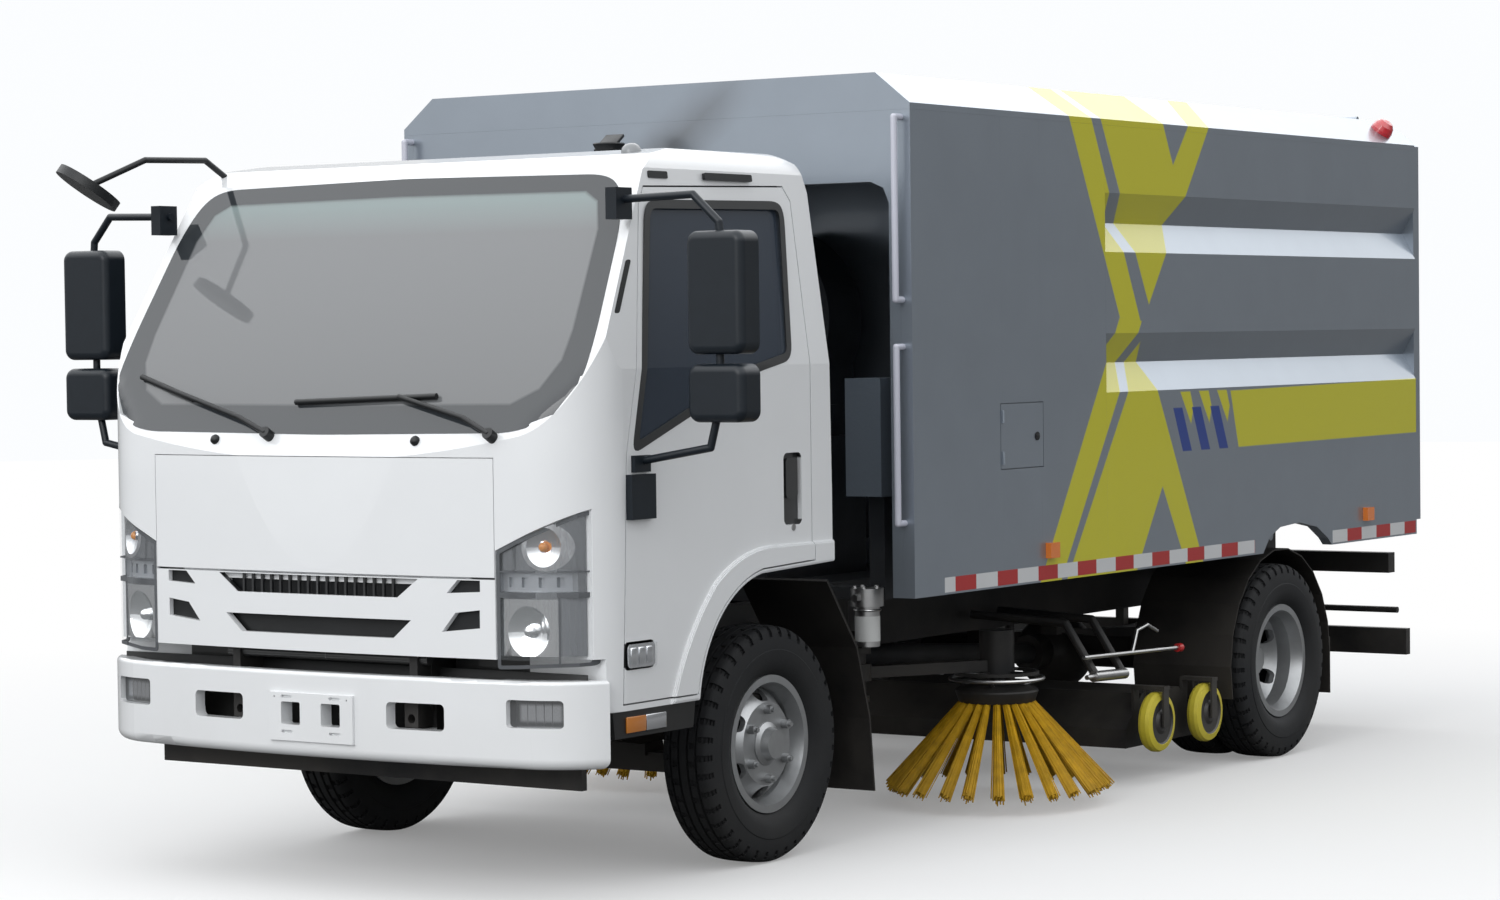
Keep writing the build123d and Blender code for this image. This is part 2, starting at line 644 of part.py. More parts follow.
cab_outer = cab_volume(0, cab_outline(0), arch_line(0))
cab_inner_outline = cab_outline(cab_wall)
cab_inner_outline[2] = (-1045 + cab_wall, cab_bottom_z + 60)
cab_inner_outline[3] = (-cab_front + 100, cab_bottom_z + 60)
cab_inner_outline[4] = (-cab_front + 100, 1000)
cab_inner_outline[5] = (-cab_front + 100, lid_top_z - 20)
cab_inner_outline[6] = (-1192 + 62, 1400)
cab_inner_outline[-1] = (-250, arch_top_z + cab_wall)
cab_inner = cab_volume(cab_wall, cab_inner_outline, [cab_inner_outline[-1]] + arch_line(cab_wall)[1:])
cab_glass_outer = cab_volume(glass_inset, cab_outline(glass_inset), arch_line(glass_inset))
cab_glass_inner = cab_volume(glass_inset + glass_thickness, cab_outline(glass_inset + glass_thickness),
                             arch_line(glass_inset + glass_thickness))
panel_outline = cab_outline(lid_thickness)
panel_outline[2] = (-1045 + lid_thickness, cab_bottom_z - 5)
panel_outline[3] = (-cab_front + lid_thickness, cab_bottom_z - 5)
cab_panel_inner = cab_volume(lid_thickness, panel_outline, arch_line(lid_thickness))
cab_lamp_inner = cab_volume(lamp_depth, cab_outline(lamp_depth), arch_line(lamp_depth))


def side_core(inset):
    """The space between the cab's side walls at this inset, run out past both ends."""
    half = cab_half_width - inset
    upper = roof_half_width - inset
    top = roof_z + 100
    lean = (cab_half_width - roof_half_width) / (roof_z - 70 - belt_z)
    with BuildPart() as core:
        front_prism([(half, 0), (half, belt_z), (upper - lean * 170, top), (-upper + lean * 170, top),
                     (-half, belt_z), (-half, 0)], fa(-cab_front - 100), fa(cab_rear + 100))
    return core.part


cab_side_core = side_core(cab_wall)

# Outlines of the openings, as (distance behind the front axle, height) or (half width, height)
door_points = [(-612, door_bottom_z), (-door_front, door_bottom_z), (-955, 1345), (-786, 2100), (-750, 2150),
               (10, 2168), (door_rear, 2120), (door_rear, arch_top_z + 8), (-250, arch_top_z - 3)]
door_window = [(-912, 1358), (-258, 1588), (-64, 1624), (-18, 2080), (-42, 2108), (-728, 2098), (-756, 2072)]
screen_half = [(0, 1418), (740, 1426), (872, 1470), (926, 1560), (922, 1700), (880, 2030), (838, 2140), (770, 2178),
               (0, 2190)]
rear_window = [(-520, 1480), (520, 1480), (540, 1510), (540, 1990), (520, 2020), (-520, 2020), (-540, 1990),
               (-540, 1510)]
lamp_half = [(lid_half_width + 1, 712), (1000, 724), (1000, 1212), (956, 1194), (lid_half_width + 1, 1068)]
grille_half = [(0, cab_bottom_z - 2), (lid_half_width - 1, cab_bottom_z - 2), (lid_half_width - 1, lid_bottom_z - 4),
               (0, lid_bottom_z - 4)]
grille_slots = [
    [(-400, 978), (400, 978), (322, 920), (-322, 920)],
    [(-372, 853), (372, 853), (305, 797), (-305, 797)],
]
grille_side_slots = [
    [(626, 978), (545, 978), (505, 938), (626, 944)],
    [(624, 890), (536, 880), (486, 822), (624, 836)],
]


def door_prism(inset, sign):
    """The door's outline, drawn in by inset, run out through the side wall."""
    with BuildPart() as prism:
        with BuildSketch(Plane.YZ) as outline:
            with BuildLine():
                Polyline(*[(fa(y), z) for y, z in door_points])
                middle_y, middle_z = arch_line(12)[1]
                ThreePointArc((fa(-250), arch_top_z - 3), (fa(middle_y), middle_z), (fa(-612), door_bottom_z))
            make_face()
            if inset:
                offset(amount=-inset, kind=Kind.INTERSECTION)
        extrude(outline.sketch, amount=sign * (cab_half_width + 50))
    return prism.part


def side_prism_of(points, grow, sign):
    """An outline in the side view, grown or drawn in, run out through the side wall."""
    with BuildPart() as prism:
        with BuildSketch(Plane.YZ.offset(sign * (roof_half_width - 2 * cab_wall))) as outline:
            with BuildLine():
                Polyline(*[(fa(y), z) for y, z in points], close=True)
            make_face()
            if grow:
                offset(amount=grow, kind=Kind.INTERSECTION)
        extrude(outline.sketch, amount=sign * (cab_half_width - roof_half_width + 3 * cab_wall))
    return prism.part


def front_prism_of(half_points, grow, near, far, whole=False):
    """An outline in the front view, mirrored when it is half of one, run from near to far."""
    points = half_points if whole else half_points + [(-x, z) for x, z in reversed(half_points) if x]
    with BuildPart() as prism:
        with BuildSketch(Plane.XZ.offset(-fa(near))) as outline:
            with BuildLine():
                Polyline(*points, close=True)
            make_face()
            if grow:
                offset(amount=grow, kind=Kind.INTERSECTION)
        extrude(outline.sketch, amount=near - far)
    return prism.part


def door_hole_of(sign):
    """The hole that a door closes, through the side wall alone."""
    with BuildPart() as hole:
        add(door_prism(0, sign))
        add(cab_side_core, mode=Mode.SUBTRACT)
    return hole.part


def flare_of(sign):
    """The raised lip round a front wheel arch, proud of the side wall."""
    with BuildPart() as flare:
        for inset, proud in ((0, flare_proud * 0.4), (3, flare_proud * 0.75), (7, flare_proud)):
            with BuildSketch(Plane.YZ.offset(sign * (cab_half_width - 1))) as outline:
                with BuildLine():
                    ThreePointArc(*[(fa(y), z) for y, z in flare_line[:3]])
                    ThreePointArc(*[(fa(y), z) for y, z in flare_line[2:]])
                    Polyline((fa(flare_line[-1][0]), flare_line[-1][1]), (fa(cab_rear), flare_line[-1][1]),
                             (fa(cab_rear), arch_top_z), (fa(-250), arch_top_z - 15))
                    ThreePointArc(*[(fa(y), z) for y, z in arch_line(0)])
                    Line((fa(-600), footwell_z), (fa(flare_line[0][0]), footwell_z))
                make_face()
                if inset:
                    offset(amount=-inset, kind=Kind.INTERSECTION)
            extrude(outline.sketch, amount=sign * (proud + 1))
    return flare.part


def handle_pocket(sign, near, far, width, height, rise, mode):
    """A rounded block in the door's side, from near to far below its face."""
    with BuildSketch(Plane.YZ.offset(sign * (cab_half_width - far))) as outline:
        with Locations((fa(door_handle_y), door_handle_z + rise)):
            RectangleRounded(width, height, width * 0.2)
    extrude(outline.sketch, amount=sign * (far - near), mode=mode)


# Cab shell: walls, floor and roof, opened for doors, windows, lamps and lid
with BuildPart() as tunnel:
    block(-tunnel_half_width - 30, tunnel_half_width + 30, fa(-1150), fa(-262), footwell_z, tunnel_top_z + 30)
    add(cab_outer, mode=Mode.INTERSECT)

with BuildPart() as lid_recess:
    add(cab_outer)
    add(cab_panel_inner, mode=Mode.SUBTRACT)
    add(front_prism_of([(0, cab_bottom_z - 5), (lid_half_width, cab_bottom_z - 5), (lid_half_width, lid_top_z),
                        (0, lid_top_z)], 0, -cab_front - 50, -1180), mode=Mode.INTERSECT)

with BuildPart() as lamp_recess:
    add(cab_outer)
    add(cab_lamp_inner, mode=Mode.SUBTRACT)
    add(front_prism_of(lamp_half, 0, -cab_front - 50, -1080, whole=True), mode=Mode.INTERSECT)
    mirror(about=Plane.YZ)

with BuildPart() as cab_shell:
    add(cab_outer)
    add(cab_inner, mode=Mode.SUBTRACT)
    add(tunnel.part)
    for sign in (1, -1):
        add(flare_of(sign))
    block(-tunnel_half_width, tunnel_half_width, fa(-1160), fa(-240), footwell_z - 50, tunnel_top_z, Mode.SUBTRACT)
    block(-grille_mouth, grille_mouth, fa(-cab_front - 10), fa(-1120), cab_bottom_z - 20, lid_bottom_z - 25, Mode.SUBTRACT)
    for sign in (1, -1):
        add(door_hole_of(sign), mode=Mode.SUBTRACT)
    add(front_prism_of(screen_half, 0, -cab_front - 50, -560), mode=Mode.SUBTRACT)
    add(front_prism_of(rear_window, 0, cab_rear - 80, cab_rear + 50, whole=True), mode=Mode.SUBTRACT)
    add(lid_recess.part, mode=Mode.SUBTRACT)
    add(lamp_recess.part, mode=Mode.SUBTRACT)
    bar((-grille_mouth - 26, cab_pivot_y, cab_pivot_z), (grille_mouth + 26, cab_pivot_y, cab_pivot_z), cab_pin_radius)
    for sign in (1, -1):
        block(sign * (grille_mouth + 2), sign * (grille_mouth + 26), cab_pivot_y - 10, cab_pivot_y + 20,
              cab_pivot_z, cab_bottom_z + 30)
save(cab_shell, "cab_shell")

with BuildPart() as pane_space:
    add(front_prism_of(screen_half, -seat_gap, -cab_front - 50, -560))
    add(front_prism_of(rear_window, -seat_gap, cab_rear - 30, cab_rear + 50, whole=True))

with BuildPart() as cab_glass:
    add(cab_glass_outer)
    add(cab_glass_inner, mode=Mode.SUBTRACT)
    add(pane_space.part, mode=Mode.INTERSECT)
save(cab_glass, "cab_glass")

def mirror_head(sign, low, high):
    """A mirror housing, rounded towards the road ahead, its glass set into the back."""
    with BuildPart() as head:
        block(sign * mirror_inner_x, sign * mirror_outer_x, fa(-mirror_front), fa(-mirror_rear), low, high)
        fillet(head.edges().filter_by(Axis.Y), 34)
        fillet(head.faces().sort_by(Axis.Y)[0].edges(), 24)
        rim = 10
        block(sign * (mirror_inner_x + rim), sign * (mirror_outer_x - rim), fa(-mirror_rear - 6), fa(-mirror_rear + 1),
              low + rim + 12, high - rim - 12, Mode.SUBTRACT)
    return head.part


for sign in (1, -1):
    side = side_name(sign)
    with BuildPart() as door:
        add(cab_outer)
        add(flare_of(sign))
        add(cab_side_core, mode=Mode.SUBTRACT)
        add(door_prism(panel_gap, sign), mode=Mode.INTERSECT)
        add(side_prism_of(door_window, 0, sign), mode=Mode.SUBTRACT)
        handle_pocket(sign, -1, handle_pocket_depth, 104, 229, 0, Mode.SUBTRACT)
        handle_pocket(sign, 3, handle_pocket_depth + 1, 66, 128, 34, Mode.ADD)
    save(door, f"door_{side}")

    with BuildPart() as door_glass:
        add(cab_glass_outer)
        add(cab_glass_inner, mode=Mode.SUBTRACT)
        add(side_prism_of(door_window, -seat_gap, sign), mode=Mode.INTERSECT)
    save(door_glass, f"door_glass_{side}")

    with BuildPart() as mirror_set:
        bent_bar([(sign * 890, fa(-880), 2104), (sign * 1178, fa(-868), 2112), (sign * 1262, fa(-858), 2030),
                  (sign * 1268, fa(-856), 1980)], 12)
        bent_bar([(sign * 1262, fa(-858), 1650), (sign * 1262, fa(-858), 1600)], 12)
        bent_bar([(sign * 1250, fa(-858), 1460), (sign * 1225, fa(-860), 1365), (sign * 950, fa(-885), 1318)], 12)
        block(sign * 900, sign * 940, fa(-925), fa(-845), 2045, 2140)
        block(sign * 960, sign * 1000, fa(-930), fa(-850), 1292, 1342)
        block(sign * 960, sign * 1008, fa(-958), fa(-836), 1152, 1286)
        for low, high in mirror_heads:
            add(mirror_head(sign, low, high))
        add(cab_outer, mode=Mode.SUBTRACT)
    save(mirror_set, f"mirror_{side}")

with BuildPart() as front_lid:
    add(cab_outer)
    add(cab_panel_inner, mode=Mode.SUBTRACT)
    add(front_prism_of([(0, lid_bottom_z), (lid_half_width, lid_bottom_z), (lid_half_width, lid_top_z), (0, lid_top_z)],
                       -panel_gap / 2, -cab_front - 50, -1180), mode=Mode.INTERSECT)
save(front_lid, "front_lid")

with BuildPart() as grille:
    add(cab_outer)
    add(cab_panel_inner, mode=Mode.SUBTRACT)
    add(front_prism_of(grille_half, 0, -cab_front - 50, -1184), mode=Mode.INTERSECT)
    for slot in grille_slots:
        add(front_prism_of(slot, 0, -cab_front - 50, -1184, whole=True), mode=Mode.SUBTRACT)
    for slot in grille_side_slots:
        add(front_prism_of(slot, 0, -cab_front - 50, -1184, whole=True), mode=Mode.SUBTRACT)
        add(front_prism_of([(-x, z) for x, z in slot], 0, -cab_front - 50, -1184, whole=True), mode=Mode.SUBTRACT)
    for index in range(17):
        rib_x = (index - 8) * 37.5
        block(rib_x - 4, rib_x + 4, fa(-cab_front + 12), fa(-cab_front + 21), 915, 980)
save(grille, "grille")

with BuildPart() as headlamp_lenses:
    add(cab_outer)
    add(cab_glass_inner, mode=Mode.SUBTRACT)
    add(front_prism_of(lamp_half, -1, -cab_front - 50, -1082, whole=True), mode=Mode.INTERSECT)
    mirror(about=Plane.YZ)
save(headlamp_lenses, "headlamp_lenses")

with BuildPart() as strip_recess_volume:
    add(cab_outer)
    add(cab_volume(24, cab_outline(24), arch_line(24)), mode=Mode.SUBTRACT)
strip_recess = strip_recess_volume.part

with BuildPart() as slot_recess_volume:
    add(cab_outer)
    add(cab_volume(34, cab_outline(34), arch_line(34)), mode=Mode.SUBTRACT)
slot_recess = slot_recess_volume.part

with BuildPart() as headlamps:
    add(cab_glass_inner)
    add(cab_lamp_inner, mode=Mode.SUBTRACT)
    add(front_prism_of(lamp_half, -1, -cab_front - 50, -1084, whole=True), mode=Mode.INTERSECT)
    for x, y, z, opening, depth, lean in lamp_bowls:
        out = Vector(lean, -sqrt(1 - lean * lean), 0)
        radius = (opening * opening + depth * depth) / (2 * depth)
        middle = Vector(x, fa(y), z)
        with Locations(tuple(middle + out * (radius - depth))):
            Sphere(radius, mode=Mode.SUBTRACT)
    strip_low, strip_high = lamp_strip
    add(front_prism_of([(690, strip_low), (912, strip_low), (912, strip_high), (690, strip_high)], 0, -cab_front - 50,
                       -1100, whole=True) & strip_recess, mode=Mode.SUBTRACT)
    for x in lamp_slots:
        add(front_prism_of([(x - 9, strip_low + 13), (x + 9, strip_low + 13), (x + 9, strip_high - 13),
                            (x - 9, strip_high - 13)], 0, -cab_front - 50, -1100, whole=True) & slot_recess,
            mode=Mode.SUBTRACT)
    for x, y, z, opening, depth, lean in lamp_bowls:
        out = Vector(lean, -sqrt(1 - lean * lean), 0)
        foot = Vector(x, fa(y), z) - out * (depth + 3)
        bar(tuple(foot), tuple(foot + out * (depth * 0.3)), opening * 0.2)
        with Locations(tuple(foot + out * (depth * 0.3))):
            Sphere(opening * 0.2)
    mirror(about=Plane.YZ)
save(headlamps, "headlamps")

screen_rake = (1192 - 742) / (2200 - 1412)


def on_screen(x, z, lift):
    """A point that stands off the windscreen's slope."""
    slope = hypot(1, screen_rake)
    return (x, fa(-1192 + (z - 1412) * screen_rake) - lift / slope, z + lift * screen_rake / slope)


with BuildPart() as wipers:
    for pivot_x, elbow_x, elbow_z, tip_x, tip_z, blade in ((-200, -330, 1448, -700, 1545, (-560, 1508, -820, 1580)),
                                                          (675, 560, 1448, 280, 1513, (420, 1518, -130, 1500))):
        bar(on_screen(pivot_x, 1402, -25), on_screen(pivot_x, 1402, 30), 18)
        bent_bar([on_screen(pivot_x, 1402, 24), on_screen(elbow_x, elbow_z, 26), on_screen(tip_x, tip_z, 20)], 8)
        bar(on_screen(blade[0], blade[1], 12), on_screen(blade[2], blade[3], 12), 9)
    add(cab_outer, mode=Mode.SUBTRACT)
save(wipers, "wipers")

with BuildPart() as dashboard:
    side_prism([(fa(-1140), 1010), (fa(-1140), 1360), (fa(-1090), 1395), (fa(-1000), 1370), (fa(-930), 1290),
                (fa(-950), 1130), (fa(-1010), 1010)], -930, 930)
    add(cab_inner, mode=Mode.INTERSECT)
    add(cab_lamp_inner, mode=Mode.INTERSECT)
    bar((column_x, fa(-990), 1140), (column_x, fa(-845), 1290), 30)
save(dashboard, "dashboard")

with BuildPart() as steering_wheel:
    hub = Vector(column_x, fa(-800), 1345)
    axis = (0, sin(radians(44)), cos(radians(44)))
    turned([(-11, steering_radius - 4), (-11, steering_radius + 6), (0, steering_radius + 13), (11, steering_radius + 6),
            (11, steering_radius - 4), (0, steering_radius - 11)], tuple(hub), axis)
    turned([(-26, 0), (-26, 40), (-4, 48), (4, 40), (4, 0)], tuple(hub), axis)
    bar(tuple(hub - Vector(*axis) * 70), tuple(hub), 14)
    for angle in (0, 180, 270):
        spoke = Vector(cos(radians(angle)), sin(radians(angle)) * axis[2], -sin(radians(angle)) * axis[1])
        bar(tuple(hub - Vector(*axis) * 12), tuple(hub + spoke * steering_radius), 9)
save(steering_wheel, "steering_wheel")

with BuildPart() as seats:
    for centre, half in ((450, 250), (-330, 400)):
        block(centre - half + 40, centre + half - 40, fa(-235), fa(-90), arch_top_z + cab_wall + seat_gap, 1085)
        with Locations((centre, fa(-350), 1140)):
            Box(2 * half, 490, 110)
        side_prism([(fa(-170), 1195), (fa(-60), 1195), (fa(20), 1760), (fa(-70), 1780)], centre - half, centre + half)
save(seats, "seats")

with BuildPart() as front_mirror:
    bent_bar([(-835, fa(-640), 2215), (-850, fa(-760), 2290), (-880, fa(-1010), 2285), (-980, fa(-1158), 2203)], 10)
    with Locations(Plane(origin=(-985, fa(-1165), 2195), z_dir=(-0.35, -0.45, -0.82)).location):
        Cylinder(112, 30)
    add(cab_outer, mode=Mode.SUBTRACT)
save(front_mirror, "front_mirror")

with BuildPart() as cab_steps:
    for sign in (1, -1):
        side_prism([(fa(-1040), footwell_z - seat_gap), (fa(-615), footwell_z - seat_gap), (fa(-628), 505), (fa(-1030), 505)],
                   sign * 870, sign * cab_half_width)
save(cab_steps, "cab_steps")


# Hopper body
def box_outline(inset, low, grooved):
    """Half of the box section, from its lower edge up to the roof, at this inset."""
    half = box_half_width - inset
    slant = hypot(roof_chamfer_x, roof_chamfer_z)
    side_drop = inset * (slant - roof_chamfer_z) / roof_chamfer_x
    top_draw = inset * (slant - roof_chamfer_x) / roof_chamfer_z
    angle = atan2(groove_depth, groove_half_height)
    points = [(half, low)]
    if grooved:
        spread = groove_half_height + inset * tan(angle / 2)
        for middle in (groove_lower_z, groove_upper_z):
            points += [(half, middle - spread), (box_half_width - groove_depth - inset / cos(angle), middle),
                       (half, middle + spread)]
    points += [(half, box_roof_z - roof_chamfer_z - side_drop),
               (box_half_width - roof_chamfer_x - top_draw, box_roof_z - inset)]
    return points + [(-x, z) for x, z in reversed(points)]


access_low, access_high = 1222, 1450
access_front, access_rear = 1098, 1395
access_thickness = 20
access_lip = 15
with BuildPart() as hopper_shell:
    front_prism(box_outline(0, box_bottom_z, False), fa(box_front), fa(box_split))
    front_prism(box_outline(0, box_bottom_z, True), fa(box_split), fa(box_rear))
    front_prism(box_outline(box_wall, box_bottom_z - 50, False), fa(box_front + front_wall), bulkhead_y, Mode.SUBTRACT)
    front_prism(box_outline(box_wall, hopper_floor_z + hopper_floor, True), fa(box_split), fa(box_rear + 20),
                Mode.SUBTRACT)
    block(-box_half_width + box_wall, box_half_width - box_wall, bulkhead_y, fa(box_rear + 20), box_bottom_z - 50,
          hopper_floor_z, Mode.SUBTRACT)
    bay = [(bay_half_width, box_bottom_z - 50), (bay_half_width, bay_top_z - bay_corner),
           (bay_half_width - bay_corner * 0.3, bay_top_z - bay_corner * 0.3), (bay_half_width - bay_corner, bay_top_z)]
    front_prism(bay + [(-x, z) for x, z in reversed(bay)], fa(box_front - 20), fa(box_front + front_wall + 20),
                Mode.SUBTRACT)
    arch_cut = [(3107, box_bottom_z - 20), (3107, box_bottom_z), (3165, 880), (3260, 915), (3430, 925), (3590, 900),
                (3690, 850), (3730, box_bottom_z), (3730, box_bottom_z - 20)]
    for sign in (1, -1):
        side_prism([(fa(y), z) for y, z in arch_cut], sign * (box_half_width - box_wall - 10), sign * (box_half_width + 10),
                   Mode.SUBTRACT)
        block(sign * (rail_outer_x - 60), sign * rail_outer_x, fa(box_split + 5), fa(4488), beam_z,
              hopper_floor_z - seat_gap)
        block(sign * (rail_outer_x - 55), sign * (rail_outer_x - 5), tip_pivot_y - 36, tip_pivot_y + 15,
              tip_pivot_z - 34, hopper_floor_z - seat_gap)
        bar((sign * (rail_outer_x - 45), tip_pivot_y, tip_pivot_z), (sign * (rail_outer_x + 26), tip_pivot_y, tip_pivot_z),
            tip_pin_radius)
        for cheek in (lift_x - 38, lift_x + 24):
            block(sign * cheek, sign * (cheek + 14), lift_high_y - 48, lift_high_y + 38, lift_high_z - 38,
                  hopper_floor_z - seat_gap)
        bar((sign * (lift_x - 30), lift_high_y, lift_high_z), (sign * (lift_x - 21), lift_high_y, lift_high_z), 24)
        bar((sign * (lift_x + 21), lift_high_y, lift_high_z), (sign * (lift_x + 30), lift_high_y, lift_high_z), 24)
        for knuckle_x in (300, 760):
            bar((sign * (knuckle_x - 50), hinge_y, hinge_z), (sign * (knuckle_x - seat_gap), hinge_y, hinge_z), 13)
            block(sign * (knuckle_x - 50), sign * (knuckle_x - seat_gap), hinge_y - 45, hinge_y - 4, box_roof_z - 5,
                  hinge_z + 4)
    block(box_half_width - access_thickness - seat_gap, box_half_width + 10, fa(access_front), fa(access_rear),
          access_low, access_high, Mode.SUBTRACT)
    block(box_half_width - box_wall - 10, box_half_width, fa(access_front + access_lip), fa(access_rear - access_lip),
          access_low + access_lip, access_high - access_lip, Mode.SUBTRACT)
    bar((duct_x, duct_y, hopper_floor_z - 10), (duct_x, duct_y, hopper_floor_z + hopper_floor + 10), duct_radius,
        Mode.SUBTRACT)
    # Joints between the roof, the walls, the floor and the bulkhead
    inner_drop = box_wall * (hypot(roof_chamfer_x, roof_chamfer_z) - roof_chamfer_z) / roof_chamfer_x
    eaves = box_roof_z - roof_chamfer_z - inner_drop - 1
    wide = box_half_width + 5
    wall_x = box_half_width - box_wall
    front_face, front_back = fa(box_front), fa(box_front) + front_wall
    rear_end = fa(box_rear) + 5
    bay_low = box_bottom_z - 5
    block(-wide, wide, front_face - 5, rear_end, eaves - seat_gap, eaves, Mode.SUBTRACT)
    block(-wall_x, wall_x, fa(box_split) - seat_gap, fa(box_split), hopper_floor_z - 5, eaves, Mode.SUBTRACT)
    block(-wall_x, wall_x, front_face - 5, front_back + 5, bay_top_z - bay_corner - seat_gap, bay_top_z - bay_corner,
          Mode.SUBTRACT)
    for sign in (1, -1):
        for y0, y1, z0, z1 in ((front_face - 5, front_back + 5, bay_low, eaves),
                               (bulkhead_y - 5, fa(box_split), hopper_floor_z - 5, eaves),
                               (fa(box_split) - 5, rear_end, hopper_floor_z - 5, hopper_floor_z + hopper_floor + 1)):
            block(sign * (wall_x - seat_gap), sign * wall_x, y0, y1, z0, z1, Mode.SUBTRACT)
        block(sign * (wall_x - 1), sign * wide, fa(box_split) - seat_gap, fa(box_split), bay_low, eaves, Mode.SUBTRACT)
    for seam in (fa(access_front + access_lip) - seat_gap, fa(access_rear - access_lip)):
        block(wall_x - 1, wide, seam, seam + seat_gap, bay_low, eaves, Mode.SUBTRACT)
save(hopper_shell, "hopper_shell")

with BuildPart() as access_door:
    block(box_half_width - access_thickness, box_half_width, fa(access_front + 3), fa(access_rear - 3),
          access_low + 3, access_high - 3)
save(access_door, "access_door")

with BuildPart() as rear_door:
    door_outline = box_outline(8, rear_door_bottom_z, False)
    front_prism(door_outline, fa(box_rear + seat_gap), fa(box_rear + rear_door_thickness))
    front_prism(box_outline(70, rear_door_bottom_z + 62, False), fa(box_rear + 25), fa(box_rear + 90), Mode.SUBTRACT)
    for rib in (1180, 1480, 1780, 2080):
        block(-box_half_width + 75, box_half_width - 75, fa(box_rear + 20), fa(box_rear + 55), rib - 28, rib + 28)
    for sign in (1, -1):
        for knuckle_x in (300, 760):
            bar((sign * knuckle_x, hinge_y, hinge_z), (sign * (knuckle_x + 50), hinge_y, hinge_z), 13)
            block(sign * knuckle_x, sign * (knuckle_x + 50), hinge_y, hinge_y + 40, box_roof_z - 40, hinge_z)
save(rear_door, "rear_door")

with BuildPart() as hopper_lamps:
    slant = hypot(roof_chamfer_x, roof_chamfer_z)
    face = (roof_chamfer_z / slant, 0, roof_chamfer_x / slant)
    for sign in (1, -1):
        foot = (sign * (box_half_width - roof_chamfer_x / 2 + face[0] * seat_gap), fa(4368),
                box_roof_z - roof_chamfer_z / 2 + face[2] * seat_gap)
        turned([(0, 0), (0, 46), (14, 46), (34, 40), (50, 26), (58, 0)], foot, (sign * face[0], 0, face[2]))
        for place in (1434, 4057):
            block(sign * (box_half_width + seat_gap), sign * (box_half_width + 22), fa(place - 32), fa(place + 32), 902, 956)
save(hopper_lamps, "hopper_lamps")

handle_x = box_half_width - 36
handle_radius = 11
handle_reach = 42
handle_ends = ((248, 829), (984, 1583))
with BuildPart() as grab_handles:
    wall = fa(box_front) - seat_gap
    for sign in (1, -1):
        for low, high in handle_ends:
            feet = (box_bottom_z + low, box_bottom_z + high)
            bent_bar([(sign * handle_x, wall, feet[0]), (sign * handle_x, wall - handle_reach, feet[0]),
                      (sign * handle_x, wall - handle_reach, feet[1]), (sign * handle_x, wall, feet[1])], handle_radius)
save(grab_handles, "grab_handles")

# Lift cylinders: barrels on the rails, rods with eyes under the hopper
lift_run = Vector(0, lift_high_y - lift_low_y, lift_high_z - lift_low_z)
lift_length = lift_run.length
lift_way = lift_run.normalized()


def on_lift(x, along):
    """A point on a cylinder's axis, measured from its lower pin."""
    return (x, lift_low_y + lift_way.Y * along, lift_low_z + lift_way.Z * along)


with BuildPart() as lift_barrels:
    for sign in (1, -1):
        x = sign * lift_x
        bar((x - 28, lift_low_y, lift_low_z), (x + 28, lift_low_y, lift_low_z), 40)
        bar(on_lift(x, 30), on_lift(x, lift_length * barrel_share), barrel_radius)
        bar(on_lift(x, 90), on_lift(x, lift_length * barrel_share + 5), rod_radius + pin_play, Mode.SUBTRACT)
        bar((x - 30, lift_low_y, lift_low_z), (x + 30, lift_low_y, lift_low_z), lift_pin_radius + pin_play, Mode.SUBTRACT)
save(lift_barrels, "lift_barrels")

with BuildPart() as lift_rods:
    for sign in (1, -1):
        x = sign * lift_x
        bar(on_lift(x, 110), on_lift(x, lift_length - 100), rod_radius)
        bar((x - 20, lift_high_y, lift_high_z), (x + 20, lift_high_y, lift_high_z), 38)
        with Locations(Plane(origin=on_lift(x, lift_length - 66), x_dir=(1, 0, 0), z_dir=tuple(lift_way)).location):
            Box(40, 50, 92)
        bar((x - 22, lift_high_y, lift_high_z), (x + 22, lift_high_y, lift_high_z), 20, Mode.SUBTRACT)
save(lift_rods, "lift_rods")

# Engine of the sweeping gear, on a skid inside the bay behind the cab
with BuildPart() as aux_engine:
    block(-560, 560, fa(640), fa(1720), rail_top_z + seat_gap, 840)
    block(-260, 330, fa(760), fa(1400), 840, 1330)
    block(-190, 260, fa(820), fa(1340), 1330, 1440)
    block(-620, -380, fa(700), fa(1300), 840, 1380)
    bar((-160, fa(1420), 1750), (-160, fa(1640), 1750), 330)
    bar((-160, fa(1640), 1750), (-160, fa(1795), 1750), 150)
    block(-420, 120, fa(1400), fa(1660), 840, 1750)
    block(760, 900, fa(600), fa(860), 1150, 1545)
    block(800, 860, fa(680), fa(780), 800, 1150)
    block(540, 860, fa(680), fa(780), 800, 838)
    bent_bar([(0, fa(780), 1240), (0, fa(320), 1240), (0, fa(320), 2340)], 42)
    with BuildSketch(Plane(origin=(0, fa(320), 2330), z_dir=(0.35, 0, 0.94))):
        Circle(60)
    extrude(amount=80, mode=Mode.SUBTRACT)
save(aux_engine, "aux_engine")

with BuildPart() as filter_unit:
    bar((845, fa(590), 650), (845, fa(590), 785), 42)
    bar((845, fa(590), 785), (845, fa(590), 845), 56)
    block(rail_outer_x + seat_gap, 800, fa(572), fa(608), 700, 716)
    block(780, 845, fa(572), fa(608), 700, 800)
save(filter_unit, "filter_unit")

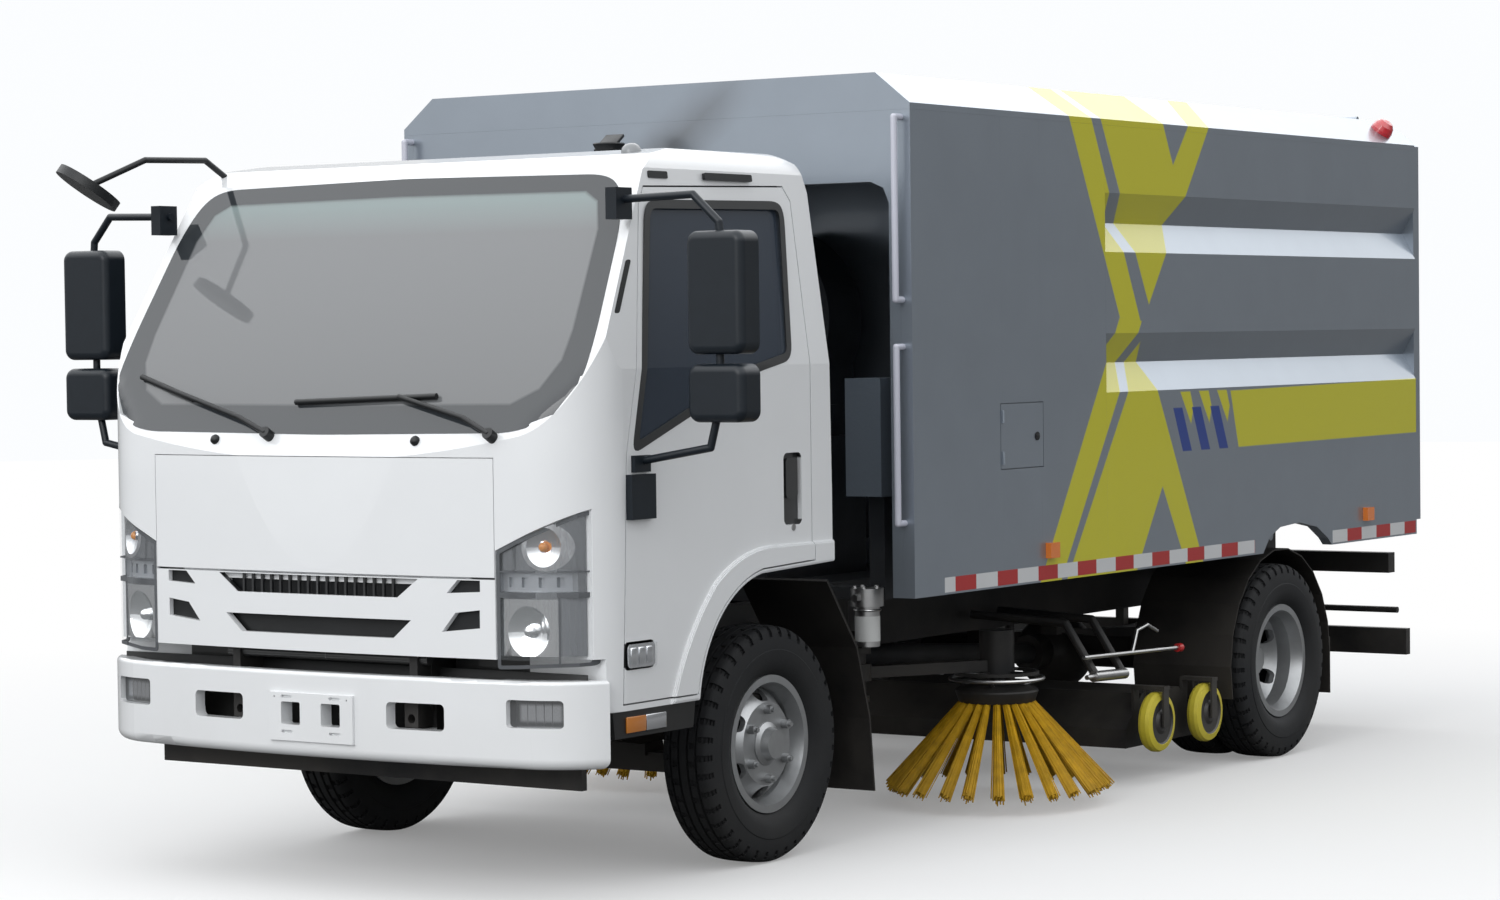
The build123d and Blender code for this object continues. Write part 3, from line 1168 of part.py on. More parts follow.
with BuildPart() as fuel_tank:
    block(-900, -520, fa(600), fa(980), 470, 760)
    fillet(fuel_tank.edges().filter_by(Axis.Y), 50)
    for place in (680, 900):
        block(-540, -rail_outer_x - seat_gap, fa(place - 20), fa(place + 20), 590, 640)
save(fuel_tank, "fuel_tank")

with BuildPart() as suction_duct:
    bar((duct_x, duct_y, nozzle_top_z + 95), (duct_x, duct_y, hopper_floor_z - 6), duct_radius + duct_wall)
    bar((duct_x, duct_y, hopper_floor_z - 40), (duct_x, duct_y, hopper_floor_z - 6), duct_radius + 28)
    block(-rail_outer_x - seat_gap, duct_x, duct_y - 40, duct_y + 40, rail_low_z + 4, rail_low_z + 32)
    bar((duct_x, duct_y, nozzle_top_z), (duct_x, duct_y, hopper_floor_z), duct_radius, Mode.SUBTRACT)
save(suction_duct, "suction_duct")

# Nozzle: an open-bottomed mouth with guide posts, duct collar and caster forks
with BuildPart() as nozzle:
    hood = [(nozzle_front, nozzle_bottom_z), (nozzle_rear, nozzle_bottom_z), (nozzle_rear, nozzle_bottom_z + 60),
            (nozzle_rear - 130, nozzle_top_z), (nozzle_front + 130, nozzle_top_z), (nozzle_front, nozzle_bottom_z + 70)]
    hollow = [(nozzle_front + 12, nozzle_bottom_z - 5), (nozzle_rear - 12, nozzle_bottom_z - 5),
              (nozzle_rear - 12, nozzle_bottom_z + 55), (nozzle_rear - 136, nozzle_top_z - 12),
              (nozzle_front + 136, nozzle_top_z - 12), (nozzle_front + 12, nozzle_bottom_z + 65)]
    side_prism([(fa(y), z) for y, z in hood], -nozzle_half_width, nozzle_half_width)
    side_prism([(fa(y), z) for y, z in hollow], -nozzle_half_width + 12, nozzle_half_width - 12, Mode.SUBTRACT)
    bar((duct_x, duct_y, nozzle_top_z - 6), (duct_x, duct_y, nozzle_top_z + 260), duct_radius - duct_play)
    bar((duct_x, duct_y, nozzle_top_z - 20), (duct_x, duct_y, nozzle_top_z + 270), duct_radius - duct_play - duct_wall,
        Mode.SUBTRACT)
    for sign in (1, -1):
        bar((sign * guide_x, guide_y, nozzle_top_z - 6), (sign * guide_x, guide_y, 755), guide_radius)
        for row in caster_rows:
            side = sign * caster_x
            block(sign * (nozzle_half_width - 10), sign * (caster_x + 44), fa(row - 22), fa(row + 22), caster_bridge_z,
                  caster_bridge_z + 14)
            block(sign * (nozzle_half_width - 10), sign * nozzle_half_width, fa(row - 22), fa(row + 22),
                  nozzle_bottom_z + 30, caster_bridge_z + 14)
            for cheek in (caster_x - 42, caster_x + 34):
                block(sign * cheek, sign * (cheek + 8), fa(row - 20), fa(row + 20), caster_z - 20, caster_bridge_z + 6)
            bar((sign * (caster_x - 42), fa(row), caster_z), (sign * (caster_x + 42), fa(row), caster_z), 10)
save(nozzle, "nozzle")

for sign in (1, -1):
    for row, place in zip(caster_rows, ("front", "rear")):
        half = caster_width / 2
        with BuildPart() as caster:
            turned([(-half, 10 + pin_play), (-half, 34), (-half + 8, 46), (-half + 8, caster_radius - 34),
                    (-half, caster_radius - 28), (-half + 6, caster_radius - 6), (-half + 18, caster_radius),
                    (half - 18, caster_radius), (half - 6, caster_radius - 6), (half, caster_radius - 28),
                    (half - 8, caster_radius - 34), (half - 8, 46), (half, 34), (half, 10 + pin_play)],
                   (sign * caster_x, fa(row), caster_z), (1, 0, 0))
        save(caster, f"caster_{place}_{side_name(sign)}")

# Side brooms: swinging posts, arms that slide down them, and turning brushes
for sign in (1, -1):
    side = side_name(sign)
    post = (sign * arm_pivot_x, arm_pivot_y)
    with BuildPart() as broom_post:
        bar((*post, arm_low - 60), (*post, arm_bracket_high + 50), arm_post_radius)
        bar((*post, arm_bracket_low - 24), (*post, arm_bracket_low - seat_gap), 46)
        bar((*post, arm_bracket_high + seat_gap), (*post, arm_bracket_high + 20), 46)
        bar((*post, arm_low - 75), (*post, arm_low - 55), 40)
    save(broom_post, f"broom_post_{side}")

    with BuildPart() as broom_arm:
        bar((*post, arm_low), (*post, arm_high), 48)
        reach_x = sign * (broom_x - arm_pivot_x)
        reach_y = broom_y - arm_pivot_y
        length = hypot(reach_x, reach_y)
        side_x = -reach_y / length * 32
        side_y = reach_x / length * 32
        plan_prism([(post[0] + side_x, post[1] + side_y), (post[0] - side_x, post[1] - side_y),
                    (sign * broom_x - side_x, broom_y - side_y), (sign * broom_x + side_x, broom_y + side_y)],
                   arm_low + 10, arm_high - 10)
        bar((*post, arm_low - 2), (*post, arm_high + 2), arm_post_radius + pin_play, Mode.SUBTRACT)
        bar((sign * broom_x, broom_y, arm_low - 6), (sign * broom_x, broom_y, arm_high + 95), 62)
        turned([(0, 141), (0, 153), (12, 153), (12, 141)], (sign * broom_x, broom_y, arm_low - 4), (0, 0, 1))
        block(sign * broom_x - 146, sign * broom_x + 146, broom_y - 7, broom_y + 7, arm_low, arm_low + 8)
        block(sign * broom_x - 7, sign * broom_x + 7, broom_y - 146, broom_y + 146, arm_low, arm_low + 8)
    save(broom_arm, f"broom_arm_{side}")

    with BuildPart() as broom:
        plate = [(0, 0), (0, broom_plate_radius - 30), (-20, broom_plate_radius), (-62, broom_plate_radius - 14),
                 (-62, 0)]
        turned(plate, (sign * broom_x, broom_y, broom_top_z), (0, 0, 1))
        bar((sign * broom_x, broom_y, broom_top_z - 5), (sign * broom_x, broom_y, arm_low - 6 - seat_gap), 30)
        for index in range(tuft_count):
            angle = radians(index * 360 / tuft_count)
            start = Vector(sign * broom_x + cos(angle) * 112, broom_y + sin(angle) * 112, broom_top_z - 52)
            tip = Vector(sign * broom_x + cos(angle) * (broom_tip_radius - 12),
                         broom_y + sin(angle) * (broom_tip_radius - 12), broom_tip_z + 16)
            with Locations(Plane(origin=start, z_dir=tip - start).location):
                Cone(9, 21, (tip - start).length, align=(Align.CENTER, Align.CENTER, Align.MIN))
    save(broom, f"broom_{side}")
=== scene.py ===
"""Finishes, tyres, brooms, seats and trim of a street sweeper truck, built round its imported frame."""

import json
import logging
import math
import random
from dataclasses import dataclass, field
from enum import Enum
from typing import Callable, Iterable, Sequence, TypeAlias

import bmesh
import bpy
from mathutils import Matrix, Vector

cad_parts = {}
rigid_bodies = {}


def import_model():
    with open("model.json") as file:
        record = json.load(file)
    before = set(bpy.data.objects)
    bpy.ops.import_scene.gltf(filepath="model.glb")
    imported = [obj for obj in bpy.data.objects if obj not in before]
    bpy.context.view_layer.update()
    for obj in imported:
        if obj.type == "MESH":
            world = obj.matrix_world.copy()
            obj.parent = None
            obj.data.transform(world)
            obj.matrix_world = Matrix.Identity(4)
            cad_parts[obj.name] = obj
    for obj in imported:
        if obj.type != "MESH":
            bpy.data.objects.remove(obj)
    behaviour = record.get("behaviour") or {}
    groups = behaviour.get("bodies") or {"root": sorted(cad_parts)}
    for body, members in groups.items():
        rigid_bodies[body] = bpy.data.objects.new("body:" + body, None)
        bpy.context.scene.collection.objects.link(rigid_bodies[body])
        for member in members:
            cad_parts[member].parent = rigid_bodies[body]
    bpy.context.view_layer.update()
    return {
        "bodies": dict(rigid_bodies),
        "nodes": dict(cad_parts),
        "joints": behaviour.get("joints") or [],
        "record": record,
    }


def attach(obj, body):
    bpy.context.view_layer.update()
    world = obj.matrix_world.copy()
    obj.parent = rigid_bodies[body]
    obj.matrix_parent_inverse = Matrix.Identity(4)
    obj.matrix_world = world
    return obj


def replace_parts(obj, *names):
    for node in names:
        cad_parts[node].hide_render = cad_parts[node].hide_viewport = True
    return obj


LOG = logging.getLogger("sweeper")
FRONT_AXLE_Y = -1.695
SIDES = (("left", 1), ("right", -1))

Colour = tuple[float, float, float]
Point2 = tuple[float, float]
Point3 = tuple[float, float, float]


def fa(distance: float) -> float:
    """Y of a point that lies this far behind the front axle."""
    return FRONT_AXLE_Y + distance


# Shader benches


Level: TypeAlias = "Signal | float"


class Signal:
    """A number that changes over a surface: one output socket with arithmetic."""

    def __init__(self, bench: "Bench", socket: bpy.types.NodeSocket) -> None:
        """Keeps the socket and the bench that its nodes are added to."""
        self.bench = bench
        self.socket = socket

    def _math(self, operation: str, *values: Level) -> "Signal":
        """Adds one Math node on these values."""
        node = self.bench.node("ShaderNodeMath", {"operation": operation})
        for index, value in enumerate(values):
            self.bench.feed(node.inputs[index], value)
        return Signal(self.bench, node.outputs[0])

    def __add__(self, other: Level) -> "Signal":
        """self + other."""
        return self._math("ADD", self, other)

    __radd__ = __add__

    def __sub__(self, other: Level) -> "Signal":
        """self - other."""
        return self._math("SUBTRACT", self, other)

    def __rsub__(self, other: Level) -> "Signal":
        """other - self."""
        return self._math("SUBTRACT", other, self)

    def __mul__(self, other: Level) -> "Signal":
        """self * other."""
        return self._math("MULTIPLY", self, other)

    __rmul__ = __mul__

    def __neg__(self) -> "Signal":
        """self with its sign turned."""
        return self._math("MULTIPLY", self, -1.0)

    def blend(self, first: Level, second: Level) -> "Signal":
        """first where self is 0, second where it is 1."""
        return self * second + (1 - self) * first

    def __abs__(self) -> "Signal":
        """The size of self, without its sign."""
        return self._math("ABSOLUTE", self, 0.0)

    def __pow__(self, power: float) -> "Signal":
        """self to a power."""
        return self._math("POWER", self, power)

    def low(self, other: Level) -> "Signal":
        """The smaller of self and other."""
        return self._math("MINIMUM", self, other)

    def high(self, other: Level) -> "Signal":
        """The larger of self and other."""
        return self._math("MAXIMUM", self, other)

    def wrap(self, period: float) -> "Signal":
        """self within one period, from 0."""
        return self._math("FLOORED_MODULO", self, period)

    def over(self, level: float, soft: float) -> "Signal":
        """1 where self is past level, 0 below it, over a soft edge."""
        node = self.bench.node(
            "ShaderNodeMapRange",
            {"clamp": True},
            {"Value": self, "From Min": level - soft / 2, "From Max": level + soft / 2},
        )
        return Signal(self.bench, node.outputs["Result"])

    def between(self, low: float, high: float, soft: float) -> "Signal":
        """1 where self lies from low to high."""
        return self.over(low, soft) * (1 - self.over(high, soft))


class Bench:
    """One node tree that shader maths is built in."""

    def __init__(self, tree: bpy.types.NodeTree) -> None:
        """Takes over an empty tree."""
        self.tree = tree
        tree.nodes.clear()
        self._axes: tuple[Signal, Signal, Signal] | None = None

    def node(self, kind: str, settings: dict | None = None, inputs: dict | None = None) -> bpy.types.Node:
        """Adds one node.

        Args:
            kind: the node's type.
            settings: its properties, which are set first; "stops" fills a ramp.
            inputs: numbers, colours, sockets or signals by input name.

        Returns:
            The new node.
        """
        node = self.tree.nodes.new(kind)
        for key, value in (settings or {}).items():
            if key == "stops":
                ramp = node.color_ramp
                for place, colour in value[2:]:
                    ramp.elements.new(place)
                for element, (place, colour) in zip(ramp.elements, value):
                    element.position = place
                    element.color = (*colour, 1.0)
            else:
                setattr(node, key, value)
        for key, value in (inputs or {}).items():
            self.feed(node.inputs[key], value)
        return node

    def feed(self, socket: bpy.types.NodeSocket, value: object) -> None:
        """Links or sets one input socket."""
        if isinstance(value, Signal):
            self.tree.links.new(value.socket, socket)
        elif isinstance(value, bpy.types.NodeSocket):
            self.tree.links.new(value, socket)
        elif isinstance(value, tuple) and len(value) == 3 and socket.type == "RGBA":
            socket.default_value = (*value, 1.0)
        else:
            socket.default_value = value

    def axes(self) -> tuple[Signal, Signal, Signal]:
        """The three Object coordinates."""
        if self._axes is None:
            self._axes = self.split("Object")
        return self._axes

    def noise(self, scale: float, detail: float = 3.0, stretch: Point3 = (1, 1, 1)) -> Signal:
        """Cloud noise on Object coordinates, from 0 to 1."""
        coords = self.node("ShaderNodeTexCoord")
        mapping = self.node("ShaderNodeMapping", inputs={"Vector": coords.outputs["Object"],
                                                         "Scale": stretch})
        node = self.node("ShaderNodeTexNoise", inputs={"Vector": mapping.outputs[0], "Scale": scale,
                                                       "Detail": detail})
        return Signal(self, node.outputs["Fac"])

    def mix(self, factor: Level, first: object, second: object) -> bpy.types.NodeSocket:
        """A colour that goes from first to second with factor."""
        node = self.node("ShaderNodeMix", {"data_type": "RGBA"})
        for index, value in ((0, factor), (6, first), (7, second)):
            self.feed(node.inputs[index], value)
        return node.outputs[2]

    def join(self, factor: Level, first: object, second: object) -> bpy.types.NodeSocket:
        """A shader that goes from first to second with factor."""
        node = self.node("ShaderNodeMixShader")
        for index, value in enumerate((factor, first, second)):
            self.feed(node.inputs[index], value)
        return node.outputs[0]

    def ray(self, kind: str) -> Signal:
        """1 for one kind of ray."""
        return Signal(self, self.node("ShaderNodeLightPath").outputs[kind])

    def in_view(self) -> Signal:
        """1 for rays from the camera, also those through glass."""
        return self.ray("Is Camera Ray").high(self.ray("Is Transmission Ray"))

    def polygon(self, across: Signal, up: Signal, corners: Sequence[Point2], soft: float) -> Signal:
        """1 inside a convex polygon whose corners run anticlockwise."""
        inside = None
        for (x0, y0), (x1, y1) in zip(corners, [*corners[1:], corners[0]]):
            length = math.hypot(x1 - x0, y1 - y0)
            distance = (up - y0) * ((x1 - x0) / length) - (across - x0) * ((y1 - y0) / length)
            inside = distance if inside is None else inside.low(distance)
        return inside.over(0.0, soft)

    def split(self, output: str) -> tuple[Signal, Signal, Signal]:
        """The three numbers of one Texture Coordinate output."""
        coords = self.node("ShaderNodeTexCoord")
        split = self.node("ShaderNodeSeparateXYZ", inputs={"Vector": coords.outputs[output]})
        return tuple(Signal(self, socket) for socket in split.outputs)


class PaintBench(Bench):
    """One material's node tree, with its Principled shader."""

    def __init__(self, name: str) -> None:
        """Starts a material with a Principled shader on its output."""
        self.material = bpy.data.materials.new(name)
        self.material.use_nodes = True
        super().__init__(self.material.node_tree)
        self.shader = self.node("ShaderNodeBsdfPrincipled")
        self.output = self.node("ShaderNodeOutputMaterial", inputs={"Surface": self.shader.outputs[0]})

    def set(self, **inputs: object) -> None:
        """Feeds the Principled shader; underscores stand for spaces."""
        for key, value in inputs.items():
            self.feed(self.shader.inputs[key.replace("_", " ")], value)

    def bump(self, height: Signal, distance: float) -> None:
        """Feeds a Bump node to the shader's Normal."""
        node = self.node("ShaderNodeBump", inputs={"Height": height, "Distance": distance, "Strength": 1.0})
        self.set(Normal=node.outputs[0])


# Finishes


@dataclass(frozen=True)
class Zone:
    """A box where another stuff shows, the same on both sides.

    Its corners give the distance from the middle plane, that behind the front axle, and the height.
    """

    low: Point3
    high: Point3
    colour: Colour
    roughness: float = 0.5
    metallic: float = 0.0
    soft: float = 0.001

    def mask(self, bench: PaintBench) -> Signal:
        """1 inside the box."""
        x, y, z = bench.axes()
        inside = abs(x).between(self.low[0], self.high[0], self.soft)
        inside = inside * y.between(fa(self.low[1]), fa(self.high[1]), self.soft)
        return inside * z.between(self.low[2], self.high[2], self.soft)


@dataclass(frozen=True)
class RoundZone(Zone):
    """The part of a box that lies within a radius of a line along X, or along Y if from_front."""

    centres: tuple[Point2, ...] = ()
    radius: float = 0.1
    from_front: bool = False

    def mask(self, bench: PaintBench) -> Signal:
        """1 near a centre, which gives distance and height, or x and height if from_front."""
        x, y, z = bench.axes()
        across = abs(x) if self.from_front else y
        nearest = None
        for place, up in self.centres:
            along = place if self.from_front else fa(place)
            distance = ((across - along) * (across - along) + (z - up) * (z - up)) ** 0.5
            nearest = distance if nearest is None else nearest.low(distance)
        return super().mask(bench) * (1 - nearest.over(self.radius, self.soft))


@dataclass(frozen=True)
class Finish:
    """A surface: its slot, its colour, how it wanders, its grain, and the road dust low down on it."""

    name: str
    slot: str
    colour: Colour
    roughness: float = 0.5
    metallic: float = 0.0
    coat: float = 0.0
    specular: float = 0.5
    mottle: float = 0.08
    mottle_scale: float = 6.0
    grain: float = 0.0
    grain_scale: float = 400.0
    grain_stretch: Point3 = (1, 1, 1)
    dust: float = 0.0
    dust_top: float = 0.9
    dust_colour: Colour = (0.30, 0.27, 0.23)
    zones: tuple[Zone, ...] = ()
    _made: dict = field(default_factory=dict, compare=False, repr=False)

    def colour_on(self, bench: PaintBench) -> bpy.types.NodeSocket:
        """The clean colour, before zones and dust."""
        dark = tuple(c * (1 - self.mottle) for c in self.colour)
        light = tuple(min(1.0, c * (1 + self.mottle)) for c in self.colour)
        return bench.mix(bench.noise(self.mottle_scale, 5.0), dark, light)

    def zones_on(self, bench: PaintBench) -> list[tuple[Signal, "Zone"]]:
        """The places on a node that are made of something else, each with its mask."""
        return [(zone.mask(bench), zone) for zone in self.zones]

    def metal_on(self, bench: PaintBench) -> Level:
        """How metallic the clean surface is."""
        return self.metallic

    def dress(self, bench: PaintBench) -> None:
        """Builds the whole surface on a bench."""
        colour = self.colour_on(bench)
        patchy = bench.noise(3.1, 6.0)
        rough = patchy * (0.16 * self.roughness) + self.roughness * 0.92
        metallic = self.metal_on(bench)
        for mask, zone in self.zones_on(bench):
            colour = bench.mix(mask, colour, zone.colour)
            rough = mask.blend(rough, zone.roughness)
            metallic = mask.blend(metallic, zone.metallic)
        if self.dust:
            z = bench.axes()[2]
            lying = (1 - z.over(self.dust_top / 2, self.dust_top)) * patchy.over(0.42, 0.34) * self.dust
            colour = bench.mix(lying, colour, self.dust_colour)
            rough = rough.high(lying * 0.9)
        bench.set(Base_Color=colour, Roughness=rough, Metallic=metallic, Specular_IOR_Level=self.specular)
        if self.coat:
            bench.set(Coat_Weight=self.coat, Coat_Roughness=0.06)
        if self.grain:
            bench.bump(bench.noise(self.grain_scale, 4.0, self.grain_stretch), self.grain)

    def material(self) -> bpy.types.Material:
        """The finish's material, made once."""
        if "material" not in self._made:
            bench = PaintBench(self.name)
            self.dress(bench)
            self._made["material"] = bench.material
        return self._made["material"]


@dataclass(frozen=True)
class StripedPaint(Finish):
    """The hopper's grey with its yellow cross, yellow band and blue bars on both side walls."""

    yellow: Colour = (0.56, 0.53, 0.012)
    blue: Colour = (0.004, 0.035, 0.24)
    side_from: float = 0.925

    def stripes_on(self, bench: PaintBench) -> tuple[Signal, Signal]:
        """Where the yellow and the blue lie, by straight edges in the side view."""
        x, y, z = bench.axes()
        along = y - FRONT_AXLE_Y
        soft = 0.004

        def shape(*corners: Point2) -> Signal:
            """One convex stripe."""
            return bench.polygon(along, z, corners, soft)

        upper_band = shape((1.96, 1.74), (2.12, 1.72), (1.70, 2.57), (1.54, 2.56))
        wedge = shape((2.183, 1.785), (2.755, 2.56), (1.77, 2.56))
        upper_notch = shape((2.382, 2.301), (2.63, 2.60), (2.23, 2.60))
        lower_band = shape((1.351, 0.80), (1.50, 0.80), (2.128, 1.726), (1.96, 1.742))
        lower_wide = shape((1.54, 0.80), (2.61, 0.80), (2.148, 1.651))
        lower_notch = shape((2.06, 0.80), (2.47, 0.80), (2.278, 1.116))
        level_band = shape((2.902, 1.241), (4.60, 1.248), (4.60, 1.475), (2.837, 1.458))
        yellow = upper_band.high(wedge * (1 - upper_notch)).high(lower_band)
        yellow = yellow.high(lower_wide * (1 - lower_notch)).high(level_band)
        leaning = along + (z - 1.32) * 0.46
        blue = None
        for start in (2.405, 2.555, 2.705):
            bar = leaning.between(start, start + 0.073, soft) * z.between(1.24, 1.403, soft)
            blue = bar if blue is None else blue.high(bar)
            dart = shape((start + 0.105, 1.34), (start + 0.125, 1.40), (start + 0.10, 1.462),
                         (start + 0.02, 1.462))
            yellow = yellow.high(dart)
        outwards = (bench.split("Normal")[0] * x).over(0.02, 0.005)
        on_side = abs(x).over(self.side_from, 0.002) * outwards
        return yellow * on_side, blue * on_side

    def metal_on(self, bench: PaintBench) -> Signal:
        """The grey is metallic, the stripes aren't."""
        yellow, blue = self.stripes_on(bench)
        return (1 - yellow.high(blue)) * self.metallic

    def colour_on(self, bench: PaintBench) -> bpy.types.NodeSocket:
        """Grey with the stripes over it, and soot on the front wall."""
        x, y, z = bench.axes()
        along = y - FRONT_AXLE_Y
        yellow, blue = self.stripes_on(bench)
        colour = bench.mix(yellow, super().colour_on(bench), self.yellow)
        colour = bench.mix(blue, colour, self.blue)
        front_wall = (1 - along.over(0.56, 0.01)) * z.over(2.2, 0.02)
        spread = ((x - 0.10) * 1.0 - (z - 2.34) * 1.35)
        soot = front_wall * (1 - abs(spread).over(0.05, 0.30)) * x.between(-0.08, 0.42, 0.20)
        soot = soot * (bench.noise(9.0, 5.0) * 0.5 + 0.62) * (1.0 - (z - 2.30) * 2.2)
        return bench.mix(soot.high(0.0).low(0.85), colour, (0.09, 0.085, 0.08))


@dataclass(frozen=True)
class Glass(Finish):
    """Tinted glass: a dark skin that lets part of the view through."""

    see_through: float = 0.5

    def dress(self, bench: PaintBench) -> None:
        """Sets colour, alpha and a clean gloss."""
        haze = bench.noise(2.0, 3.0)
        bench.set(Base_Color=self.colour_on(bench), Roughness=haze * 0.02 + self.roughness, Metallic=0.0)
        bench.set(Alpha=self.alpha_on(bench), IOR=1.5)

    def alpha_on(self, bench: PaintBench) -> Level:
        """How much of the glass covers what is behind it."""
        return 1 - self.see_through


@dataclass(frozen=True)
class CabPaint(Finish):
    """White outside, grey trim on every face inside the cab."""

    colour: Colour = (0.80, 0.815, 0.83)
    roughness: float = 0.22
    coat: float = 0.6
    mottle: float = 0.02
    dust: float = 0.16
    trim: Colour = (0.16, 0.165, 0.17)

    def zones_on(self, bench: PaintBench) -> list[tuple[Signal, Zone]]:
        """The trim fills the room behind the screen and within the walls."""
        x, y, z = bench.axes()
        along = y - FRONT_AXLE_Y
        behind = (along + 1.192 - (z - 1.412) * 0.571).over(0.030, 0.002)
        plan = ((-1.0, -1.150), (0.735, -1.150), (0.888, -1.085), (0.945, -0.950), (0.957, 0.140),
                (-1.0, 0.140))
        within = bench.polygon(abs(x) + (z - 1.60).high(0.0) * 0.1185, along, plan, 0.002)
        room = behind * within * z.between(1.0, 2.19, 0.002)
        lining = Zone((0, 0, 0), (0, 0, 0), self.trim, 0.75)
        return [*super().zones_on(bench), (room, lining)]


@dataclass(frozen=True)
class ScreenGlass(Glass):
    """The windscreen: printed dark border, green sun-shade tint band at the top, painted shade at the foot
    and a painted sky reflection above.
    """

    edge: tuple[Point2, ...] = ((-1.0, 1.492), (0.70, 1.500), (0.79, 1.545), (0.838, 1.63), (0.842, 1.72),
                                (0.812, 2.02),
                                (0.775, 2.105), (0.72, 2.135), (-1.0, 2.150))

    def colour_on(self, bench: PaintBench) -> bpy.types.NodeSocket:
        """Painted shade at the foot that rises to the paler grey of a painted sky reflection, the greenish
        tint band at the top, dark on the border.
        """
        x, y, z = bench.axes()
        # Painted light: dark grey at the foot is painted shade of the dim cab, and the paler grey above is
        # a painted reflection of the sky
        sky_reflection_rise = z.over(1.80, 0.70)
        painted_shade_and_sky = bench.mix(sky_reflection_rise, (0.13, 0.135, 0.14), self.colour)
        tint = bench.mix(z.over(2.07, 0.10), painted_shade_and_sky, (0.33, 0.40, 0.40))
        return bench.mix(self.border(bench), tint, (0.035, 0.040, 0.045))

    def border(self, bench: PaintBench) -> Signal:
        """1 on the printed edge of the windscreen."""
        x, y, z = bench.axes()
        return 1 - bench.polygon(abs(x), z, self.edge, 0.010)

    def alpha_on(self, bench: PaintBench) -> Signal:
        """Closed on the border and at the foot, where the painted shade stands for the dim cab behind, open
        above.
        """
        z = bench.axes()[2]
        clear = z.over(1.80, 0.60) * (1 - self.border(bench)) * self.see_through
        return 0.97 - clear


@dataclass(frozen=True)
class TapeFinish(Finish):
    """Red and white marking tape, in equal lengths along Y."""

    start: float = 0.788
    period: float = 0.2805
    red_length: float = 0.137
    red: Colour = (0.40, 0.025, 0.025)

    def colour_on(self, bench: PaintBench) -> bpy.types.NodeSocket:
        """White with red lengths."""
        along = bench.axes()[1] - FRONT_AXLE_Y - self.start
        red = 1 - along.wrap(self.period).over(self.red_length, 0.003)
        return bench.mix(red, super().colour_on(bench), self.red)


WHITE_PAINT = CabPaint("white_cab_paint", "white_paint", zones=(
    Zone((0.0, -1.187, 0.55), (0.684, -0.90, 0.985), (0.010, 0.011, 0.012), 0.5),))
DOOR_PAINT = CabPaint("white_door_paint", "white_paint", zones=(
    Zone((0.95, -0.1145, 1.093), (0.9842, -0.0115, 1.321), (0.012, 0.013, 0.014), 0.4),
    Zone((0.95, -0.0955, 1.178), (0.9900, -0.0305, 1.304), (0.012, 0.013, 0.014), 0.4)))
GRILLE_PAINT = Finish("white_grille_paint", "grille_paint", CabPaint.colour, 0.22, coat=0.6, mottle=0.02,
    dust=0.16, zones=(
    Zone((0.0, -1.2185, 0.916), (0.405, -1.19, 0.981), (0.012, 0.013, 0.014), 0.4),))
GREY_PAINT = StripedPaint("striped_hopper_paint", "body_grey_paint", (0.285, 0.322, 0.368), 0.30,
    metallic=0.65, coat=0.35, mottle=0.05, dust=0.08)
DOOR_GREY = Finish("hopper_door_paint", "door_grey", (0.285, 0.322, 0.368), 0.32, metallic=0.65,
    coat=0.35, mottle=0.05, dust=0.10)
CHASSIS_PAINT = Finish("chassis_paint", "chassis_black", (0.007, 0.008, 0.010), 0.45, specular=0.22,
    mottle=0.35, mottle_scale=14, grain=0.0004, grain_scale=60, dust=0.22, dust_top=1.1)
RIM_PAINT = Finish("wheel_silver", "rim_silver", (0.36, 0.37, 0.38), 0.36, metallic=0.7, mottle=0.12,
    mottle_scale=30, grain=0.0002, grain_scale=140, dust=0.25, dust_top=1.5,
    dust_colour=(0.16, 0.15, 0.135))
TYRE_RUBBER = Finish("tyre_rubber", "tyre_rubber", (0.011, 0.012, 0.014), 0.72, specular=0.2, mottle=0.25,
    mottle_scale=18, grain=0.0006, grain_scale=220, dust=0.14, dust_top=1.4,
    dust_colour=(0.10, 0.095, 0.085))
CASTER_RUBBER = Finish("caster_rubber", "caster_rubber", (0.62, 0.52, 0.03), 0.6, mottle=0.12,
    mottle_scale=40, grain=0.0004, grain_scale=200, dust=0.12, dust_top=1.0, zones=(
    RoundZone((0.9, 2.2, 0.1), (1.1, 2.95, 0.36), (0.014, 0.014, 0.015), 0.5,
    centres=((2.376, 0.232), (2.768, 0.232)), radius=0.083),))
BLACK_PLASTIC = Finish("black_moulding", "black_plastic", (0.010, 0.011, 0.012), 0.42, specular=0.3,
    mottle=0.2, mottle_scale=20, grain=0.0003, grain_scale=700, dust=0.08)
MIRROR_PLASTIC = Finish("mirror_moulding", "mirror_black", (0.008, 0.012, 0.017), 0.36, specular=0.3,
    mottle=0.2, mottle_scale=20, grain=0.0002, grain_scale=700, zones=(
    Zone((1.181, -0.8185, 1.651), (1.361, -0.8165, 1.992), (0.62, 0.66, 0.70), 0.04, 1.0),
    Zone((1.181, -0.8185, 1.451), (1.361, -0.8165, 1.601), (0.62, 0.66, 0.70), 0.04, 1.0)))
WINDOW_RUBBER = Finish("window_rubber", "black_plastic", (0.011, 0.012, 0.013), 0.5, mottle=0.15,
    mottle_scale=30, grain=0.0003, grain_scale=500)
GUARD_PLASTIC = Finish("mudguard_moulding", "guard_plastic", (0.006, 0.006, 0.007), 0.55, specular=0.2,
    mottle=0.25, mottle_scale=12, grain=0.0005, grain_scale=300, dust=0.18, dust_top=1.2)
DASH_PLASTIC = Finish("dashboard_moulding", "dash_plastic", (0.055, 0.056, 0.06), 0.6, mottle=0.1,
    grain=0.0004, grain_scale=600)
